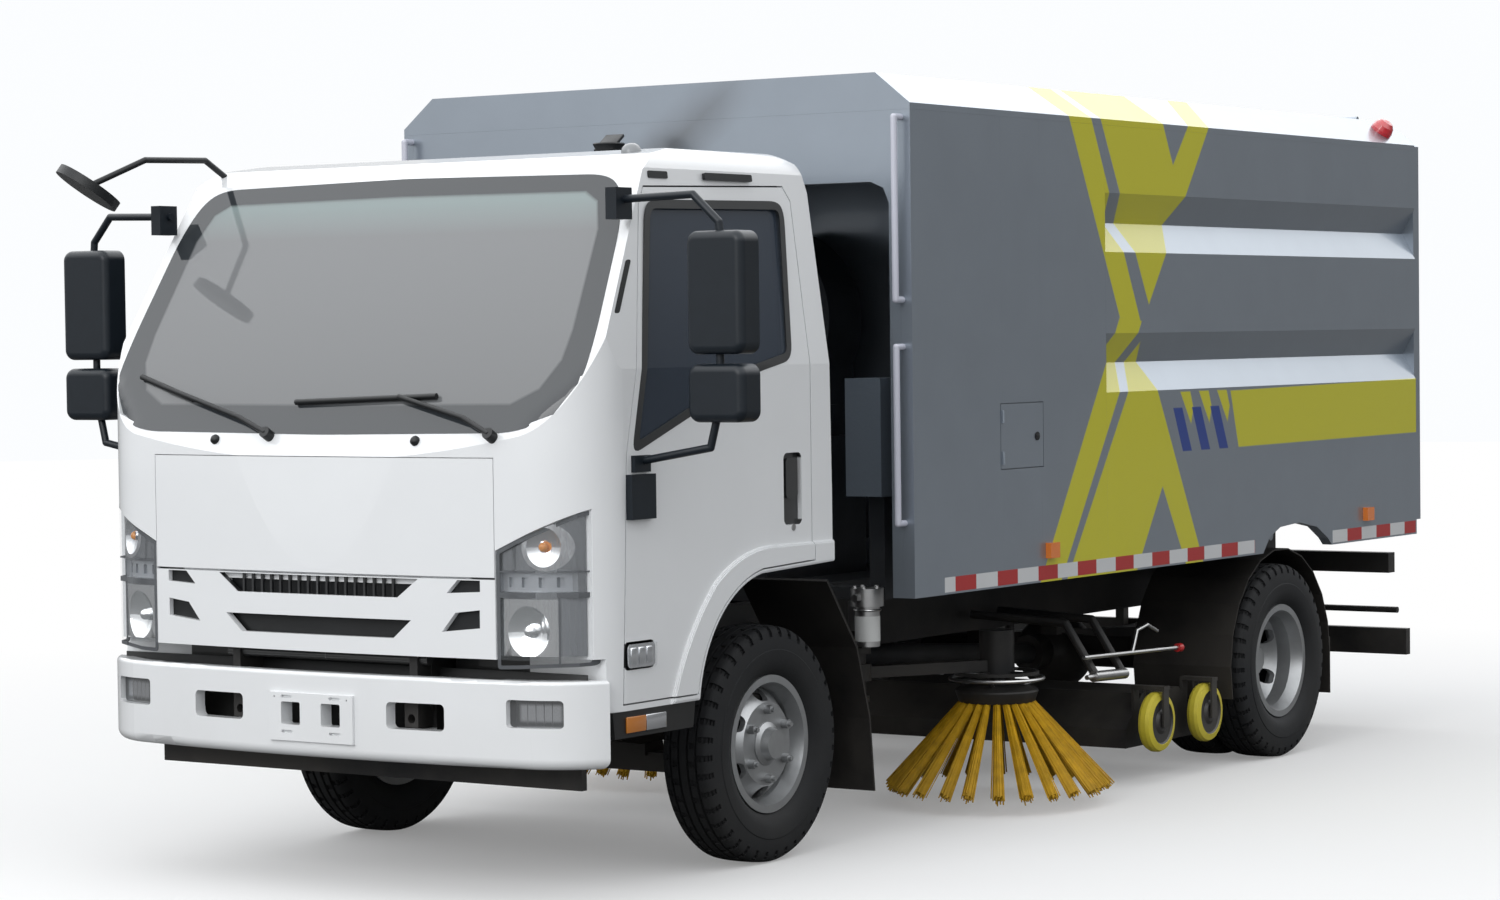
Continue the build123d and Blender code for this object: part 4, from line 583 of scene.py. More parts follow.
ENGINE_CAST = Finish("engine_castings", "engine_cast", (0.030, 0.034, 0.040), 0.55, metallic=0.3,
    specular=0.3, mottle=0.4, mottle_scale=9, grain=0.001, grain_scale=90, dust=0.2, dust_top=1.2, zones=(
    Zone((0.755, 0.59, 1.145), (0.905, 0.87, 1.55), (0.13, 0.155, 0.185), 0.4),
    Zone((0.0, 0.27, 2.0), (0.06, 0.37, 2.4), (0.010, 0.010, 0.012), 0.5)))
BARE_STEEL = Finish("bare_steel", "steel", (0.42, 0.42, 0.42), 0.34, metallic=1.0, mottle=0.12,
    mottle_scale=25, grain=0.0002, grain_scale=160, dust=0.1, dust_top=1.2)
ROD_CHROME = Finish("plated_rod", "rod_chrome", (0.72, 0.72, 0.73), 0.12, metallic=1.0, mottle=0.03)
ROAD_LAMPS = Finish("road_lamp_covers", "lamp_red", (0.42, 0.02, 0.02), 0.18, coat=0.8, mottle=0.08,
    zones=(
    Zone((0.60, -1.30, 0.50), (0.95, -1.0, 0.66), (0.17, 0.175, 0.18), 0.12, 0.8),
    Zone((0.60, -1.30, 0.50), (0.735, -1.0, 0.66), (0.05, 0.052, 0.055), 0.4),
    Zone((0.748, -1.30, 0.563), (0.872, -1.0, 0.612), (0.52, 0.53, 0.55), 0.10, 0.9, 0.010),
    *(Zone((x, -1.30, 0.555), (x + 0.003, -1.0, 0.620), (0.10, 0.102, 0.105), 0.3)
      for x in (0.768, 0.793, 0.818, 0.843)),
    Zone((0.78, 4.40, 0.50), (0.85, 4.60, 0.80), (0.72, 0.30, 0.02), 0.2),
    Zone((0.70, 4.40, 0.50), (0.775, 4.60, 0.80), (0.62, 0.63, 0.64), 0.2)))
HOPPER_LAMPS = Finish("orange_lamp_covers", "lamp_red", (0.78, 0.20, 0.02), 0.2, coat=0.8, mottle=0.08,
    zones=(
    Zone((0.0, 4.0, 2.0), (1.1, 4.6, 2.7), (0.55, 0.02, 0.03), 0.2),))
DOME_GREY = Finish("dome_grey", "mirror_black", (0.20, 0.21, 0.22), 0.35, coat=0.3, mottle=0.05)
LABEL_WHITE = Finish("bare_label", "white_paint", (0.62, 0.63, 0.62), 0.5, mottle=0.06)
ORANGE_LENS = Finish("orange_lens", "lamp_red", (0.50, 0.17, 0.02), 0.2, coat=0.8, mottle=0.08)
RED_CAP = Finish("red_cap", "lamp_red", (0.55, 0.02, 0.02), 0.35, coat=0.2, mottle=0.1)
BRISTLE = Finish("yellow_bristle", "bristle", (0.58, 0.34, 0.012), 0.6, specular=0.2, mottle=0.45,
    mottle_scale=25, dust=0.12, dust_top=0.3)
HANDLE_PAINT = Finish("handle_paint", "handle_paint", (0.55, 0.56, 0.64), 0.35, coat=0.3, mottle=0.06)
SEAT_CLOTH = Finish("seat_cloth", "seat_cloth", (0.055, 0.060, 0.070), 0.9, mottle=0.25, mottle_scale=60,
    grain=0.0008, grain_scale=500, grain_stretch=(1, 0.25, 1))
LAMP_SILVER = Finish("lamp_silver", "lamp_reflector", (0.72, 0.73, 0.75), 0.16, metallic=1.0, mottle=0.05)
REFLECTOR = Finish("lamp_reflector", "lamp_reflector", (0.26, 0.27, 0.285), 0.22, metallic=0.85,
    mottle=0.05, grain=0.0012, grain_scale=34, grain_stretch=(1.6, 0.3, 0.25), zones=(
    Zone((0.690, -1.3, 0.9465), (0.912, -1.10, 1.0015), (0.42, 0.44, 0.47), 0.25, 0.5),
    Zone((0.690, -1.3, 0.737), (0.870, -1.0, 0.925), (0.80, 0.81, 0.82), 0.10, 1.0),
    Zone((0.870, -1.3, 0.712), (1.0, -1.0, 0.940), (0.20, 0.21, 0.225), 0.3, 0.4),
    RoundZone((0.690, -1.3, 1.0025), (1.0, -1.0, 1.20), (0.66, 0.67, 0.69), 0.14, 1.0,
    centres=((0.836, 1.079),), radius=0.071, from_front=True),
    RoundZone((0.690, -1.176, 1.0025), (1.0, -1.0, 1.20), (0.70, 0.26, 0.03), 0.2, 0.0,
    centres=((0.826, 1.079),), radius=0.0155, from_front=True)))
# Its colour is the paler grey of the painted sky reflection on the upper screen; the foot's darker grey is
# painted shade
SCREEN_GLASS = ScreenGlass("windscreen_glass", "tinted_glass", (0.30, 0.31, 0.32), 0.03, mottle=0.02,
    see_through=0.32)
SIDE_GLASS = Glass("side_window_glass", "tinted_glass", (0.045, 0.062, 0.090), 0.03, mottle=0.02,
    see_through=0.40)
CLEAR_LENS = Glass("clear_lamp_lens", "clear_lens", (0.45, 0.48, 0.50), 0.04, mottle=0.02,
    see_through=0.92)
LAMP_BEZEL = Finish("lamp_bezel", "black_plastic", (0.075, 0.080, 0.088), 0.35, mottle=0.1, grain=0.0002,
    grain_scale=500)
MARKING_TAPE = TapeFinish("marking_tape", "handle_paint", (0.62, 0.63, 0.64), 0.35, mottle=0.05,
    grain=0.0002, grain_scale=300)

NODE_FINISHES: dict[str, Finish] = {
    "access_door": DOOR_GREY, "aux_engine": ENGINE_CAST, "broom_arm": CHASSIS_PAINT,
    "broom_post": CHASSIS_PAINT,
    "broom": BRISTLE, "cab_glass": SIDE_GLASS, "cab_shell": WHITE_PAINT, "cab_steps": BLACK_PLASTIC,
    "caster_front": CASTER_RUBBER, "caster_rear": CASTER_RUBBER, "chassis_frame": CHASSIS_PAINT,
    "dashboard": DASH_PLASTIC, "door_glass": SIDE_GLASS, "door": DOOR_PAINT, "driveline": ENGINE_CAST,
    "filter_unit": BARE_STEEL, "front_axle": CHASSIS_PAINT, "front_bumper": WHITE_PAINT,
    "front_lid": WHITE_PAINT,
    "front_mirror": BLACK_PLASTIC, "fuel_tank": CHASSIS_PAINT, "grab_handles": HANDLE_PAINT,
    "grille": GRILLE_PAINT,
    "headlamp_lenses": CLEAR_LENS, "headlamps": REFLECTOR, "hopper_lamps": HOPPER_LAMPS,
    "hopper_shell": GREY_PAINT,
    "knuckle": CHASSIS_PAINT, "lift_barrels": CHASSIS_PAINT, "lift_rods": ROD_CHROME,
    "mirror": MIRROR_PLASTIC,
    "mudguards": GUARD_PLASTIC, "nozzle": CHASSIS_PAINT, "rear_axle": CHASSIS_PAINT, "rear_door": DOOR_GREY,
    "rim_front": RIM_PAINT, "rims_rear": RIM_PAINT, "road_lamps": ROAD_LAMPS, "seats": SEAT_CLOTH,
    "steering_wheel": DASH_PLASTIC, "suction_duct": CHASSIS_PAINT, "tie_rod": BARE_STEEL,
    "tyre_front": TYRE_RUBBER,
    "tyres_rear": TYRE_RUBBER, "underrun_guards": CHASSIS_PAINT, "wipers": BLACK_PLASTIC,
}


# Mesh work


def linked(name: str, data: bpy.types.ID) -> bpy.types.Object:
    """A new object in the scene."""
    made = bpy.data.objects.new(name, data)
    bpy.context.scene.collection.objects.link(made)
    return made


def as_object(name: str, bm: bmesh.types.BMesh) -> bpy.types.Object:
    """Turns a bmesh into an object and frees it."""
    mesh = bpy.data.meshes.new(name)
    bm.to_mesh(mesh)
    bm.free()
    return linked(name, mesh)


class Shading(Enum):
    """How a piece's faces meet."""

    FLAT = 0.0
    CRISP = 30.0
    ROUND = 60.0


@dataclass
class Builder:
    """Collects one piece in a bmesh and turns it into a finished object."""

    name: str
    body: str
    finish: Finish
    bm: bmesh.types.BMesh = field(default_factory=bmesh.new)

    def ring(self, profile: Sequence[Point2], centre: Point3, axis: Point3,
             steps: int) -> list[bmesh.types.BMFace]:
        """Spins a closed outline of (distance along the axis, radius) points.

        Args:
            profile: the outline's corners in order.
            centre: a point on the axis, where distance is 0.
            axis: the direction that distance runs in.
            steps: how many faces go round.

        Returns:
            The new faces.
        """
        way = Vector(axis).normalized()
        out = way.orthogonal().normalized()
        verts = [self.bm.verts.new(Vector(centre) + way * along + out * radius) for along,
                 radius in profile]
        edges = [self.bm.edges.new(pair) for pair in zip(verts, [*verts[1:], verts[0]])]
        before = set(self.bm.faces)
        bmesh.ops.spin(self.bm, geom=[*verts, *edges], cent=centre, axis=way, dvec=(0, 0, 0),
                       angle=2 * math.pi,
                       steps=steps, use_merge=True, use_duplicate=False)
        return [face for face in self.bm.faces if face not in before]

    def block(self, low: Point3, high: Point3, bevel: float = 0.0,
              turn: Matrix | None = None) -> list[bmesh.types.BMVert]:
        """A box between two corners, with rounded edges, turned about its middle."""
        low_v, high_v = Vector(low), Vector(high)
        made = bmesh.ops.create_cube(self.bm, size=1.0)["verts"]
        bmesh.ops.scale(self.bm, vec=high_v - low_v, verts=made)
        if bevel:
            edges = list({edge for vert in made for edge in vert.link_edges})
            made = bmesh.ops.bevel(self.bm, geom=edges, offset=bevel, segments=2, profile=0.5,
                                   affect="EDGES",
                                   material=-1)["verts"]
        if turn is not None:
            bmesh.ops.transform(self.bm, matrix=turn, verts=made)
        bmesh.ops.translate(self.bm, vec=(low_v + high_v) / 2, verts=made)
        return made

    def rod(self, start: Point3, end: Point3, radius: float, sides: int = 12,
            tip: float | None = None) -> list:
        """A straight round bar, or a cone where the tip radius differs."""
        start_v, end_v = Vector(start), Vector(end)
        run = end_v - start_v
        made = bmesh.ops.create_cone(self.bm, cap_ends=True, segments=sides, radius1=radius,
                                     radius2=radius if tip is None else tip, depth=run.length)["verts"]
        turn = Vector((0, 0, 1)).rotation_difference(run).to_matrix().to_4x4()
        bmesh.ops.transform(self.bm, matrix=Matrix.Translation((start_v + end_v) / 2) @ turn, verts=made)
        return made

    def patch(self, outline: Sequence[Point2], place: Callable[[float, float], Vector], depth: float,
              inner: Sequence[Point2] = (), levels: Iterable[float] = (),
              bends: Iterable[float] = ()) -> None:
        """A thin plate that lies on a surface.

        Args:
            outline: its corners on the flat, as (across, up).
            place: gives the point of the surface for one (across, up).
            depth: how far it stands proud of that surface; less than 0 goes the other way.
            inner: the outline of its opening, with as many corners, or nothing for a whole plate.
            levels: heights at which the plate is divided, so that it can follow a bend.
            bends: the same for places across.
        """
        flat = bmesh.new()
        corners = [flat.verts.new((across, up, 0.0)) for across, up in outline]
        if inner:
            opening = [flat.verts.new((across, up, 0.0)) for across, up in inner]
            edges = [flat.edges.new(pair) for loop in (corners, opening)
                     for pair in zip(loop, [*loop[1:], loop[0]])]
            bmesh.ops.bridge_loops(flat, edges=edges)
        else:
            flat.faces.new(corners)
        cuts = [((0, level, 0), (0, 1, 0)) for level in levels]
        cuts += [((bend, 0, 0), (1, 0, 0)) for bend in bends]
        for point, way in cuts:
            bmesh.ops.bisect_plane(flat, geom=[*flat.verts, *flat.edges, *flat.faces], dist=1e-6,
                                   plane_co=point, plane_no=way)
        for vert in flat.verts:
            vert.co = place(vert.co.x, vert.co.y)
        bmesh.ops.recalc_face_normals(flat, faces=flat.faces)
        bmesh.ops.solidify(flat, geom=flat.faces[:], thickness=depth)
        bmesh.ops.recalc_face_normals(flat, faces=flat.faces)
        self.take(flat)

    def take(self, other: bmesh.types.BMesh) -> None:
        """Adds another bmesh to this one and frees it."""
        carrier = bpy.data.meshes.new("carrier")
        other.to_mesh(carrier)
        other.free()
        self.bm.from_mesh(carrier)
        bpy.data.meshes.remove(carrier)

    def hoop(self, centre: Point3, axis: Point3, radius: float, thickness: float, steps: int = 48) -> None:
        """A round ring of round bar."""
        section = [(math.cos(i * math.pi / 4) * thickness, radius + math.sin(i * math.pi / 4) * thickness)
                   for i in range(8)]
        self.ring(section, centre, axis, steps)

    def bent_rod(self, points: Sequence[Point3], radius: float, sides: int = 12) -> None:
        """A round bar through several points, with a ball in each corner."""
        for start, end in zip(points, points[1:]):
            self.rod(start, end, radius, sides)
        for corner in points[1:-1]:
            bmesh.ops.create_icosphere(self.bm, subdivisions=2, radius=radius * 1.01,
                                       matrix=Matrix.Translation(corner))

    def done(self, shading: Shading = Shading.CRISP, mend: bool = True) -> bpy.types.Object:
        """Makes the object, dresses it and lets it ride on its body."""
        if mend:
            bmesh.ops.remove_doubles(self.bm, verts=self.bm.verts, dist=1e-5)
            bmesh.ops.recalc_face_normals(self.bm, faces=self.bm.faces)
        piece = as_object(self.name, self.bm)
        mesh = piece.data
        mesh.materials.append(self.finish.material())
        if shading is not Shading.FLAT:
            mesh.polygons.foreach_set("use_smooth", [True] * len(mesh.polygons))
            mesh.set_sharp_from_angle(angle=math.radians(shading.value))
        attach(piece, self.body)
        LOG.info("%s: %d faces", self.name, len(mesh.polygons))
        return piece


def rounded(outline: Sequence[Point2], reach: float, steps: int = 5) -> list[Point2]:
    """An outline with its corners drawn as short curves.

    Args:
        outline: its corners in order.
        reach: how far from a corner its curve starts, if the sides are long enough.
        steps: how many pieces each curve has.

    Returns:
        The new outline.
    """
    points: list[Point2] = []
    for before, corner, after in zip([outline[-1], *outline[:-1]], outline, [*outline[1:], outline[0]]):
        middle, ends = Vector(corner), []
        for end in (before, after):
            run = Vector(end) - middle
            ends.append(middle + run.normalized() * min(reach, run.length * 0.48))
        for step in range(steps + 1):
            t = step / steps
            point = ends[0] * (1 - t) ** 2 + middle * (2 * t * (1 - t)) + ends[1] * t ** 2
            points.append((point.x, point.y))
    return points


def drawn_in(outline: Sequence[Point2], distance: float) -> list[Point2]:
    """An outline with its sides moved inwards.

    Args:
        outline: its corners, anticlockwise.
        distance: how far; less than 0 moves them outwards.

    Returns:
        The new corners.
    """
    moved = []
    for before, corner, after in zip([outline[-1], *outline[:-1]], outline, [*outline[1:], outline[0]]):
        runs = [(Vector(corner) - Vector(before)).normalized(),
                (Vector(after) - Vector(corner)).normalized()]
        inwards = sum((Vector((-run.y, run.x)) for run in runs), Vector((0, 0)))
        moved.append(tuple(Vector(corner) + inwards * (2 * distance / inwards.length_squared)))
    return moved


def on_cab_side(sign: int, lift: float) -> Callable[[float, float], Vector]:
    """The cab's side face: upright to the belt, leaning in above it.

    Args:
        sign: 1 on the left, -1 on the right.
        lift: how far outside the face.

    Returns:
        A function from (distance behind the front axle, height) to the point.
    """
    return lambda along, up: Vector((sign * (0.985 + lift - max(0.0, up - 1.60) * 0.1185), fa(along), up))


def on_screen(lift: float) -> Callable[[float, float], Vector]:
    """The windscreen's face: a slope that turns round the lower corners.

    Args:
        lift: how far outside the face.

    Returns:
        A function from (x, height) to the point.
    """
    bends = ((0.0, -1.230), (0.757, -1.196), (0.923, -1.115), (0.985, -0.968))

    def place(across: float, up: float) -> Vector:
        """The point of the face."""
        slope = -1.192 + (up - 1.412) * 0.571
        wide, turn = abs(across), bends[-1][1]
        for (x0, y0), (x1, y1) in zip(bends, bends[1:]):
            if x0 <= wide <= x1:
                turn = y0 + (y1 - y0) * (wide - x0) / (x1 - x0)
        return Vector((across, fa(max(slope, turn) - lift * 1.1), up + lift * 0.3))

    return place


# Sub-assemblies


@dataclass
class CabGlazing:
    """Windscreen, rear pane and the rubbers round the door windows."""

    screen_half: tuple[Point2, ...] = ((0.0, 1.408), (0.744, 1.416), (0.880, 1.461), (0.937, 1.556),
                                       (0.933, 1.702),
                                       (0.891, 2.034), (0.847, 2.149), (0.774, 2.189), (0.0, 2.201))
    rear_pane: tuple[Point2, ...] = ((-0.55, 1.47), (0.55, 1.47), (0.55, 2.03), (-0.55, 2.03))
    door_window: tuple[Point2, ...] = ((-0.912, 1.358), (-0.258, 1.588), (-0.064, 1.624), (-0.018, 2.080),
                                       (-0.042, 2.108), (-0.728, 2.098), (-0.756, 2.072))
    rubber: float = 0.027
    overlap: float = 0.010
    pane: float = 0.004

    def build(self) -> None:
        """Makes both panes, which stand for the plain glass, and the rubbers."""
        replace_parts(self.windscreen(), "cab_glass")
        rear = Builder("rear_window_pane", "cab", SIDE_GLASS)
        rear.patch(rounded(self.rear_pane, 0.06), lambda x, z: Vector((x, fa(0.1655), z)), self.pane)
        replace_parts(rear.done(), "cab_glass")
        seal = Builder("rear_window_rubber", "cab", WINDOW_RUBBER)
        seal.patch(rounded(self.rear_pane, 0.06), lambda x, z: Vector((x, fa(0.166), z)), 0.006,
                   inner=rounded(drawn_in(self.rear_pane, 0.022), 0.04))
        seal.done()
        for side, sign in SIDES:
            frame = Builder(f"door_window_rubber_{side}", f"door_{side}_body", WINDOW_RUBBER)
            frame.patch(rounded(drawn_in(self.door_window, -self.overlap), 0.05),
                        on_cab_side(sign, 0.0008), 0.003,
                        inner=rounded(drawn_in(self.door_window, self.rubber - self.overlap), 0.02),
                        levels=(1.60,))
            frame.done()

    def windscreen(self) -> bpy.types.Object:
        """A pane cut from a grid by the smooth outline, laid on the cab's front."""
        builder = Builder("windscreen", "cab", SCREEN_GLASS)
        outline = list(self.screen_half) + [(-x, z) for x, z in reversed(self.screen_half[1:-1])]
        outline = rounded(outline, 0.07)
        bmesh.ops.create_grid(builder.bm, x_segments=72, y_segments=30, size=0.5)
        bmesh.ops.scale(builder.bm, vec=(2.0, 0.9, 1.0), verts=builder.bm.verts)
        bmesh.ops.translate(builder.bm, vec=(0.0, 1.8, 0.0), verts=builder.bm.verts)
        for start, end in zip(outline, [*outline[1:], outline[0]]):
            way = Vector(end) - Vector(start)
            if way.length > 1e-6:
                whole = [*builder.bm.verts, *builder.bm.edges, *builder.bm.faces]
                bmesh.ops.bisect_plane(builder.bm, geom=whole, dist=1e-6, plane_co=(*start, 0.0),
                                       plane_no=(way.y, -way.x, 0.0), clear_outer=True)
        place = on_screen(0.0018)
        for vert in builder.bm.verts:
            vert.co = place(vert.co.x, vert.co.y)
        bmesh.ops.recalc_face_normals(builder.bm, faces=builder.bm.faces)
        bmesh.ops.solidify(builder.bm, geom=builder.bm.faces[:], thickness=self.pane)
        return builder.done(Shading.ROUND)


@dataclass
class CabTrim:
    """The small black, clear and amber parts fixed to the cab and doors."""

    side_x: float = 0.985

    def build(self) -> None:
        """Makes each group of trim on its own body."""
        for side, sign in SIDES:
            self.side_lamp(side, sign)
            self.sill_reflector(side, sign)
            self.pillar_parts(side, sign)
            self.door_parts(side, sign)
        self.roof_parts()
        self.lamp_bezels()
        self.grille_liners()
        self.washer_jets()

    def side_lamp(self, side: str, sign: int) -> None:
        """A clear side lamp on a black base, low on the door."""
        place = on_cab_side(sign, 0.0)
        outline = rounded([(-0.977, 0.705), (-0.827, 0.705), (-0.827, 0.789), (-0.977, 0.789)], 0.018)
        base = Builder(f"side_lamp_base_{side}", f"door_{side}_body", BLACK_PLASTIC)
        base.patch(outline, place, 0.006)
        base.done()
        inner = rounded([(-0.970, 0.712), (-0.834, 0.712), (-0.834, 0.782), (-0.970, 0.782)], 0.015)
        shell = Builder(f"side_lamp_reflector_{side}", f"door_{side}_body", LAMP_SILVER)
        shell.patch(inner, on_cab_side(sign, 0.006), 0.004)
        for along in (-0.945, -0.905, -0.865):
            x, y = sign * 0.9955, fa(along)
            shell.block((x - 0.0035, y - 0.014, 0.722), (x + 0.0035, y + 0.014, 0.772), 0.003)
        shell.done()
        lens = Builder(f"side_lamp_lens_{side}", f"door_{side}_body", CLEAR_LENS)
        low, high = sorted((sign * 0.9915, sign * 1.003))
        lens.block((low, fa(-0.971), 0.711), (high, fa(-0.833), 0.783), 0.004)
        lens.done()

    def sill_reflector(self, side: str, sign: int) -> None:
        """The amber and clear marker on the step."""
        low, high = sorted((sign * self.side_x, sign * (self.side_x + 0.007)))
        for name, start, end, finish in (("amber", -0.977, -0.880, ORANGE_LENS),
                                         ("clear", -0.878, -0.775, LAMP_SILVER)):
            marker = Builder(f"sill_marker_{name}_{side}", "cab", finish)
            marker.block((low, fa(start), 0.519), (high, fa(end), 0.567), 0.003)
            marker.done()

    def pillar_parts(self, side: str, sign: int) -> None:
        """The dark vent strip on the front pillar."""
        strip = Builder(f"pillar_vent_{side}", "cab", BLACK_PLASTIC)
        outline = rounded([(-0.975, 1.765), (-0.948, 1.765), (-0.860, 1.925), (-0.884, 1.925)], 0.010)
        strip.patch(outline, on_cab_side(sign, -0.002), 0.006, levels=(1.80, 1.85, 1.90))
        strip.done()

    def door_parts(self, side: str, sign: int) -> None:
        """Clips of the rain rail, and the door's lock."""
        clips = Builder(f"rain_rail_clips_{side}", "cab", BLACK_PLASTIC)
        for start, end in ((-0.72, -0.62), (-0.436, -0.177)):
            outline = rounded([(start, 2.174), (end, 2.174), (end, 2.196), (start, 2.196)], 0.006)
            clips.patch(outline, on_cab_side(sign, -0.004), 0.010)
        clips.done()
        lock = Builder(f"door_lock_{side}", f"door_{side}_body", BARE_STEEL)
        low, high = sorted((sign * 0.9848, sign * 0.9875))
        lock.rod((low, fa(-0.062), 1.085), (high, fa(-0.062), 1.085), 0.011, 20)
        lock.done()

    def roof_parts(self) -> None:
        """A small dome on a black foot."""
        foot = Builder("roof_dome_foot", "cab", BLACK_PLASTIC)
        foot.ring([(-0.030, 0.0), (-0.030, 0.040), (0.006, 0.038), (0.010, 0.032), (0.010, 0.0)],
                  (0.76, fa(-0.595), 2.248), (0, -0.2, 1), 32)
        foot.done()
        dome = Builder("roof_dome", "cab", DOME_GREY)
        dome.ring([(0.0, 0.0), (0.0, 0.032), (0.012, 0.030), (0.022, 0.024), (0.029, 0.014), (0.031, 0.0)],
                  (0.76, fa(-0.597), 2.258), (0, -0.2, 1), 32)
        dome.done(Shading.ROUND)

    def lamp_bezels(self) -> None:
        """Dark frames round the headlamps, with the bars between their chambers."""
        outline = ((0.684, 0.716), (0.951, 0.727), (0.951, 1.190), (0.934, 1.182), (0.684, 1.066))
        for side, sign in SIDES:
            bezel = Builder(f"headlamp_bezel_{side}", "cab", LAMP_BEZEL)

            def place(x: float, z: float) -> Vector:
                """Mirrors the plate for the right side."""
                point = on_screen(0.0012)(x, z)
                return Vector((sign * point.x, point.y, point.z))

            bends = (0.7575, 0.80, 0.84, 0.88, 0.9235)
            bezel.patch(rounded(outline, 0.012), place, 0.0025,
                        inner=rounded(drawn_in(outline, 0.011), 0.004),
                        bends=bends)
            for low, high in ((0.929, 0.9445), (1.0035, 1.0085)):
                bezel.patch([(0.690, low), (0.949, low), (0.949, high), (0.690, high)], place, 0.0022,
                            bends=bends)
            bezel.patch([(0.868, 0.728), (0.8735, 0.728), (0.8735, 0.932), (0.868, 0.932)], place, 0.0022)
            bezel.done()

    def grille_liners(self) -> None:
        """Black plates behind the grille's slots."""
        liners = Builder("grille_liners", "cab", BLACK_PLASTIC)
        middle = (((-0.404, 0.982), (0.404, 0.982), (0.324, 0.916), (-0.324, 0.916)),
                  ((-0.376, 0.857), (0.376, 0.857), (0.307, 0.793), (-0.307, 0.793)))
        side = (((0.629, 0.980), (0.541, 0.980), (0.500, 0.935), (0.629, 0.941)),
                ((0.628, 0.893), (0.532, 0.883), (0.480, 0.819), (0.628, 0.833)))
        for outline in middle:
            liners.patch(outline, on_screen(-0.026), 0.002, bends=(-0.2, 0.0, 0.2))
        for outline in side:
            liners.patch(outline, on_screen(-0.011), 0.002)
            liners.patch([(-x, z) for x, z in outline], on_screen(-0.011), 0.002)
        liners.done()

    def washer_jets(self) -> None:
        """Two low black noses under the windscreen."""
        jets = Builder("washer_jets", "cab", BLACK_PLASTIC)
        for x in (-0.42, 0.385):
            jets.ring([(-0.020, 0.0), (-0.020, 0.017), (0.004, 0.015), (0.010, 0.009), (0.012, 0.0)],
                      (x, fa(-1.206), 1.392), (0, -0.87, 0.5), 20)
        jets.done(Shading.ROUND)


@dataclass
class ExhaustCap:
    """The flared rain cap on the sweeper engine's pipe, over the cab's roof."""

    foot: Point3 = (0.0, fa(0.32), 2.318)

    def build(self) -> None:
        """Makes a collar and a hood that leans forward."""
        cap = Builder("exhaust_cap", "chassis", BLACK_PLASTIC)
        cap.ring([(-0.030, 0.0425), (-0.030, 0.047), (0.016, 0.048), (0.030, 0.055), (0.034, 0.052),
                  (0.018, 0.0425)],
                 self.foot, (0, 0, 1), 32)
        cap.block((-0.038, fa(0.275), 2.346), (0.038, fa(0.368), 2.358), 0.004,
                  Matrix.Rotation(math.radians(36), 4, "X"))
        cap.rod((0.0, fa(0.36), 2.325), (0.0, fa(0.36), 2.362), 0.006, 10)
        cap.done()


@dataclass
class FilterFittings:
    """Label, clamp, bolts and short pipes on the filter beside the rail."""

    x: float = 0.845
    d: float = 0.590

    def build(self) -> None:
        """Makes the bare label sleeve and the metal parts."""
        label = Builder("filter_label", "chassis", LABEL_WHITE)
        label.ring([(0.668, 0.0420), (0.668, 0.0428), (0.752, 0.0428), (0.752, 0.0420)],
                   (self.x, fa(self.d), 0.0),
                   (0, 0, 1), 40)
        label.done()
        metal = Builder("filter_fittings", "chassis", BARE_STEEL)
        metal.hoop((self.x, fa(self.d), 0.772), (0, 0, 1), 0.0445, 0.004)
        for angle in range(5):
            way = angle * 2 * math.pi / 5
            x, y = self.x + 0.040 * math.cos(way), fa(self.d) + 0.040 * math.sin(way)
            metal.rod((x, y, 0.845), (x, y, 0.853), 0.007, 6)
        metal.rod((self.x, fa(self.d - 0.056), 0.815), (self.x, fa(self.d - 0.080), 0.815), 0.014, 6)
        metal.rod((self.x, fa(self.d + 0.056), 0.815), (self.x, fa(self.d + 0.080), 0.815), 0.014, 6)
        metal.done()


@dataclass
class FrontCover:
    """The dark splash sheet behind the bumper, seen through its slots."""

    low: Point3 = (-0.93, fa(-1.088), 0.45)
    high: Point3 = (0.93, fa(-1.084), 0.70)
    lip: float = 0.03

    def build(self) -> None:
        """Makes the sheet with turned edges."""
        cover = Builder("splash_sheet", "chassis", BLACK_PLASTIC)
        cover.block(self.low, self.high, 0.001)
        foot = self.low[2]
        cover.block((*self.low[:2], foot - 0.002), (self.high[0], self.high[1] + self.lip, foot + 0.002),
                    0.001)
        cover.done()


@dataclass
class HopperTrim:
    """Marking tape on the hopper, and the hatch's lock and hinges."""

    side_x: float = 1.070
    tape_z: Point2 = (0.827, 0.877)
    lengths: tuple[Point2, ...] = ((0.72, 3.035), (3.735, 4.548))

    def build(self) -> None:
        """Lays the tape and fits the small hardware."""
        for side, sign in SIDES:
            tape = Builder(f"marking_tape_{side}", "hopper", MARKING_TAPE)
            for start, end in self.lengths:
                low, high = self.tape_z
                tape.patch([(start, low), (end, low), (end, high), (start, high)],
                           lambda along, up: Vector((sign * (self.side_x + 0.0004), fa(along), up)), 0.0008)
            tape.done()
        lock = Builder("hatch_lock", "access_door_body", BLACK_PLASTIC)
        lock.rod((1.0702, fa(1.349), 1.331), (1.0735, fa(1.349), 1.331), 0.015, 24)
        lock.block((1.0730, fa(1.337), 1.327), (1.0755, fa(1.361), 1.335), 0.0008)
        lock.done()
        hinges = Builder("hatch_hinges", "access_door_body", DOOR_GREY)
        for z in (1.262, 1.404):
            hinges.rod((1.0735, fa(1.112), z - 0.022), (1.0735, fa(1.112), z + 0.022), 0.006, 12)
        hinges.done()


